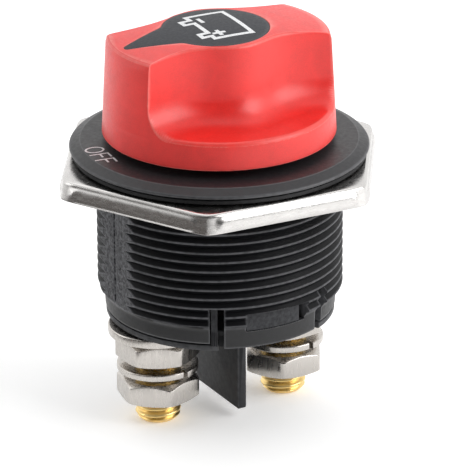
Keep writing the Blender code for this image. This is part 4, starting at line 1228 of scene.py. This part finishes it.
def build_spring_washer(node, surface):
    """A split ring of square wire whose two ends stand a little apart."""
    low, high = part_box(node)
    side = math.copysign(1.0, low.x + high.x)
    inner, outer = STUD_RADIUS + 0.3 * MM, 0.5 * (high.y - low.y)
    angles = np.radians(np.linspace(SPLIT_ANGLE + 4, SPLIT_ANGLE + 356, 181))
    rise = SPRING_WASHER_TWIST * np.linspace(-1.0, 1.0, len(angles))
    bottom, top = low.z + SPRING_WASHER_TWIST, high.z - SPRING_WASHER_TWIST
    slant = 0.05 * MM
    corners = [(inner, bottom), (outer, bottom + slant), (outer, top - slant), (inner, top)]
    section = eased(corners, 0.22 * MM)
    loop = np.array(section + [section[0]])
    radii = np.repeat(loop[:, :1], len(angles), axis=1)
    heights = loop[:, 1:] + rise
    ring = polar(radii, heights, angles, (side * STUD_X, 0.0))
    mesh = weld(f"{node}_coiled", [ring, *end_caps(ring)])
    add_piece(f"{node}_coiled", mesh, surface, "housing_body", [node], 40)


def build_spring(node, mean_radius, wire_radius, turns, centre, body, surface):
    """A round-wire compression spring with its ends ground flat against their seats."""
    low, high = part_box(node)
    count = int(turns * 36)
    angle = np.linspace(0.0, FULL_TURN * turns, count + 1)
    height = np.linspace(low.z + wire_radius, high.z - wire_radius, count + 1)
    section = circle_angles(14)
    radii = mean_radius + wire_radius * np.cos(section)[:, None]
    heights = np.clip(height + wire_radius * np.sin(section)[:, None], low.z, high.z)
    wire = polar(np.broadcast_to(radii, heights.shape), heights, angle, centre)
    mesh = weld(f"{node}_coil", [wire, *end_caps(wire)])
    return add_piece(f"{node}_coil", mesh, surface, body, [node], 60)


# ---------------------------------------------------------------- camera, light and floor


def aim(direction, roll=0.0):
    """A rotation that looks along a direction, turned about it by roll."""
    look = direction.normalized()
    right = look.cross(Vector((0.0, 0.0, 1.0))).normalized()
    up = right.cross(look)
    side = right * math.cos(roll) + up * math.sin(roll)
    rise = up * math.cos(roll) - right * math.sin(roll)
    return Matrix((side, rise, -look)).transposed().to_4x4()


def add_camera():
    data = bpy.data.cameras.new("camera")
    data.lens = CAMERA_LENS
    data.sensor_width = 36.0
    data.clip_start = 0.05
    data.clip_end = 20.0
    camera = put("camera", data)
    camera.matrix_world = Matrix.Translation(CAMERA_PLACE) @ aim(CAMERA_LOOK, CAMERA_ROLL)
    bpy.context.scene.camera = camera


def add_softbox(name, place, size, watts):
    """A rectangular studio light aimed at the switch."""
    data = bpy.data.lights.new(name, "AREA")
    data.shape = "RECTANGLE"
    data.size, data.size_y = size
    data.energy = watts
    light = put(name, data)
    light.matrix_world = Matrix.Translation(place) @ aim(SOFTBOX_TARGET - Vector(place))


def add_prop(name, patch, surface):
    """A sheet of the studio round the switch."""
    mesh = weld(name, [patch])
    mesh.materials.append(surface.material)
    prop = put(name, mesh)
    return prop


def add_floor():
    """White paper over a dim light table, so that it stays white in the switch's shadow."""
    surface = Surface("floor_paper", 0.9, Emission_Color=(1.0, 1.0, 1.0, 1.0), Emission_Strength=FLOOR_GLOW)
    tone = surface.ramp(surface.noise(6.0, 2.0), 0.3, 0.7, 0.0, 1.0)
    surface.paint(surface.mix(tone, (0.955, 0.955, 0.955), (0.97, 0.97, 0.97)))
    surface.bump(surface.noise(900, 2.0), 0.01 * MM)
    z = cad_box[0].z - 0.2 * MM
    edge = np.array(((-FLOOR_HALF, -FLOOR_HALF, z), (FLOOR_HALF, -FLOOR_HALF, z)))
    add_prop("floor", np.stack((edge, edge + (0.0, 2 * FLOOR_HALF, 0.0))), surface)


def add_dark_reflection_card():
    """A dark card left of the switch, folded up at its far end, that only shows as a reflection in it: a
    painted dark reflection standing for shaded floor.
    """
    surface = Surface("dark_reflection_card", 0.8)
    tone = surface.ramp(surface.noise(30.0, 3.0), 0.3, 0.7, 0.0, 1.0)
    surface.paint(surface.mix(tone, (0.10, 0.09, 0.085), (0.13, 0.12, 0.115)))
    (near_x, far_x), (low_y, high_y), rise = DARK_REFLECTION_CARD
    z = cad_box[0].z - 0.1 * MM
    edge = np.array(((near_x, low_y, z), (far_x, low_y, z), (far_x, low_y, z + rise)))
    card = add_prop("dark_reflection_card", np.stack((edge, edge + (0.0, high_y - low_y, 0.0))), surface)
    card.visible_camera = False
    card.visible_diffuse = False
    card.visible_shadow = False


def add_light():
    """A pale room that is brightest behind the switch, and the softboxes."""
    world = bpy.data.worlds.new("studio")
    bpy.context.scene.world = world
    world.use_nodes = True
    nodes, links = world.node_tree.nodes, world.node_tree.links
    background = nodes["Background"]
    direction = nodes.new("ShaderNodeTexCoord")
    behind = nodes.new("ShaderNodeVectorMath")
    behind.operation = "DOT_PRODUCT"
    behind.inputs[1].default_value = ROOM_BRIGHT_SIDE
    strength = nodes.new("ShaderNodeMapRange")
    strength.interpolation_type = "SMOOTHSTEP"
    for socket, value in zip(("From Min", "From Max", "To Min", "To Max"), ROOM_FADE + ROOM):
        strength.inputs[socket].default_value = value
    links.new(direction.outputs["Generated"], behind.inputs[0])
    links.new(behind.outputs["Value"], strength.inputs["Value"])
    links.new(strength.outputs["Result"], background.inputs["Strength"])
    background.inputs["Color"].default_value = (1.0, 1.0, 1.0, 1.0)
    for name, (place, size, watts) in SOFTBOXES.items():
        add_softbox(name, place, size, watts)


# ---------------------------------------------------------------- the whole scene


def main():
    scene = bpy.context.scene
    scene.view_settings.view_transform = "Standard"
    surfaces = build_surfaces()
    for subpart in frame["record"]["subparts"]:
        node = frame["nodes"][subpart["node"]]
        node.data.materials.clear()
        node.data.materials.append(surfaces[subpart["material_slot"]])
    build_knob(surfaces["knob_plastic"])
    build_badge(surfaces["badge_plastic"])
    build_pictogram(surfaces["label_print"])
    build_housing(surfaces["housing_plastic"])
    gasket = "flange_gasket"
    build_flat_ring("gasket_ring", gasket, GASKET_BORE, GASKET_EASE, 240, surfaces["rubber"])
    build_label("label_off", "OFF", 174.0, surfaces["label_print"])
    build_label("label_on", "ON", 84.0, surfaces["label_print"])
    build_panel_nut(surfaces["bright_steel"])
    build_base_cover(surfaces["cover_plastic"])
    for name, side in (("left", -1), ("right", 1)):
        build_stud(f"stud_{name}", side, surfaces["brass"])
        for kind in ("terminal_nut", "cable_nut"):
            build_nut(f"{kind}_{name}", surfaces["steel"])
        washer = f"terminal_washer_{name}"
        build_flat_ring(f"{washer}_turned", washer, WASHER_BORE, WASHER_EASE, 200, surfaces["steel"])
        build_spring_washer(f"spring_washer_{name}", surfaces["steel"])
    wire = surfaces["spring_steel"]
    build_spring("contact_spring", 3.4 * MM, 0.4 * MM, 2.5, (0.0, 0.0), "carrier_body", wire)
    for name, side in (("front", -1), ("back", 1)):
        node = f"return_spring_{name}"
        spring = build_spring(node, 2.7 * MM, 0.35 * MM, 6.5, (0.0, side * GUIDE[0]), "housing_body", wire)
        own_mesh(spring)
    add_camera()
    add_light()
    add_floor()
    add_dark_reflection_card()


main()
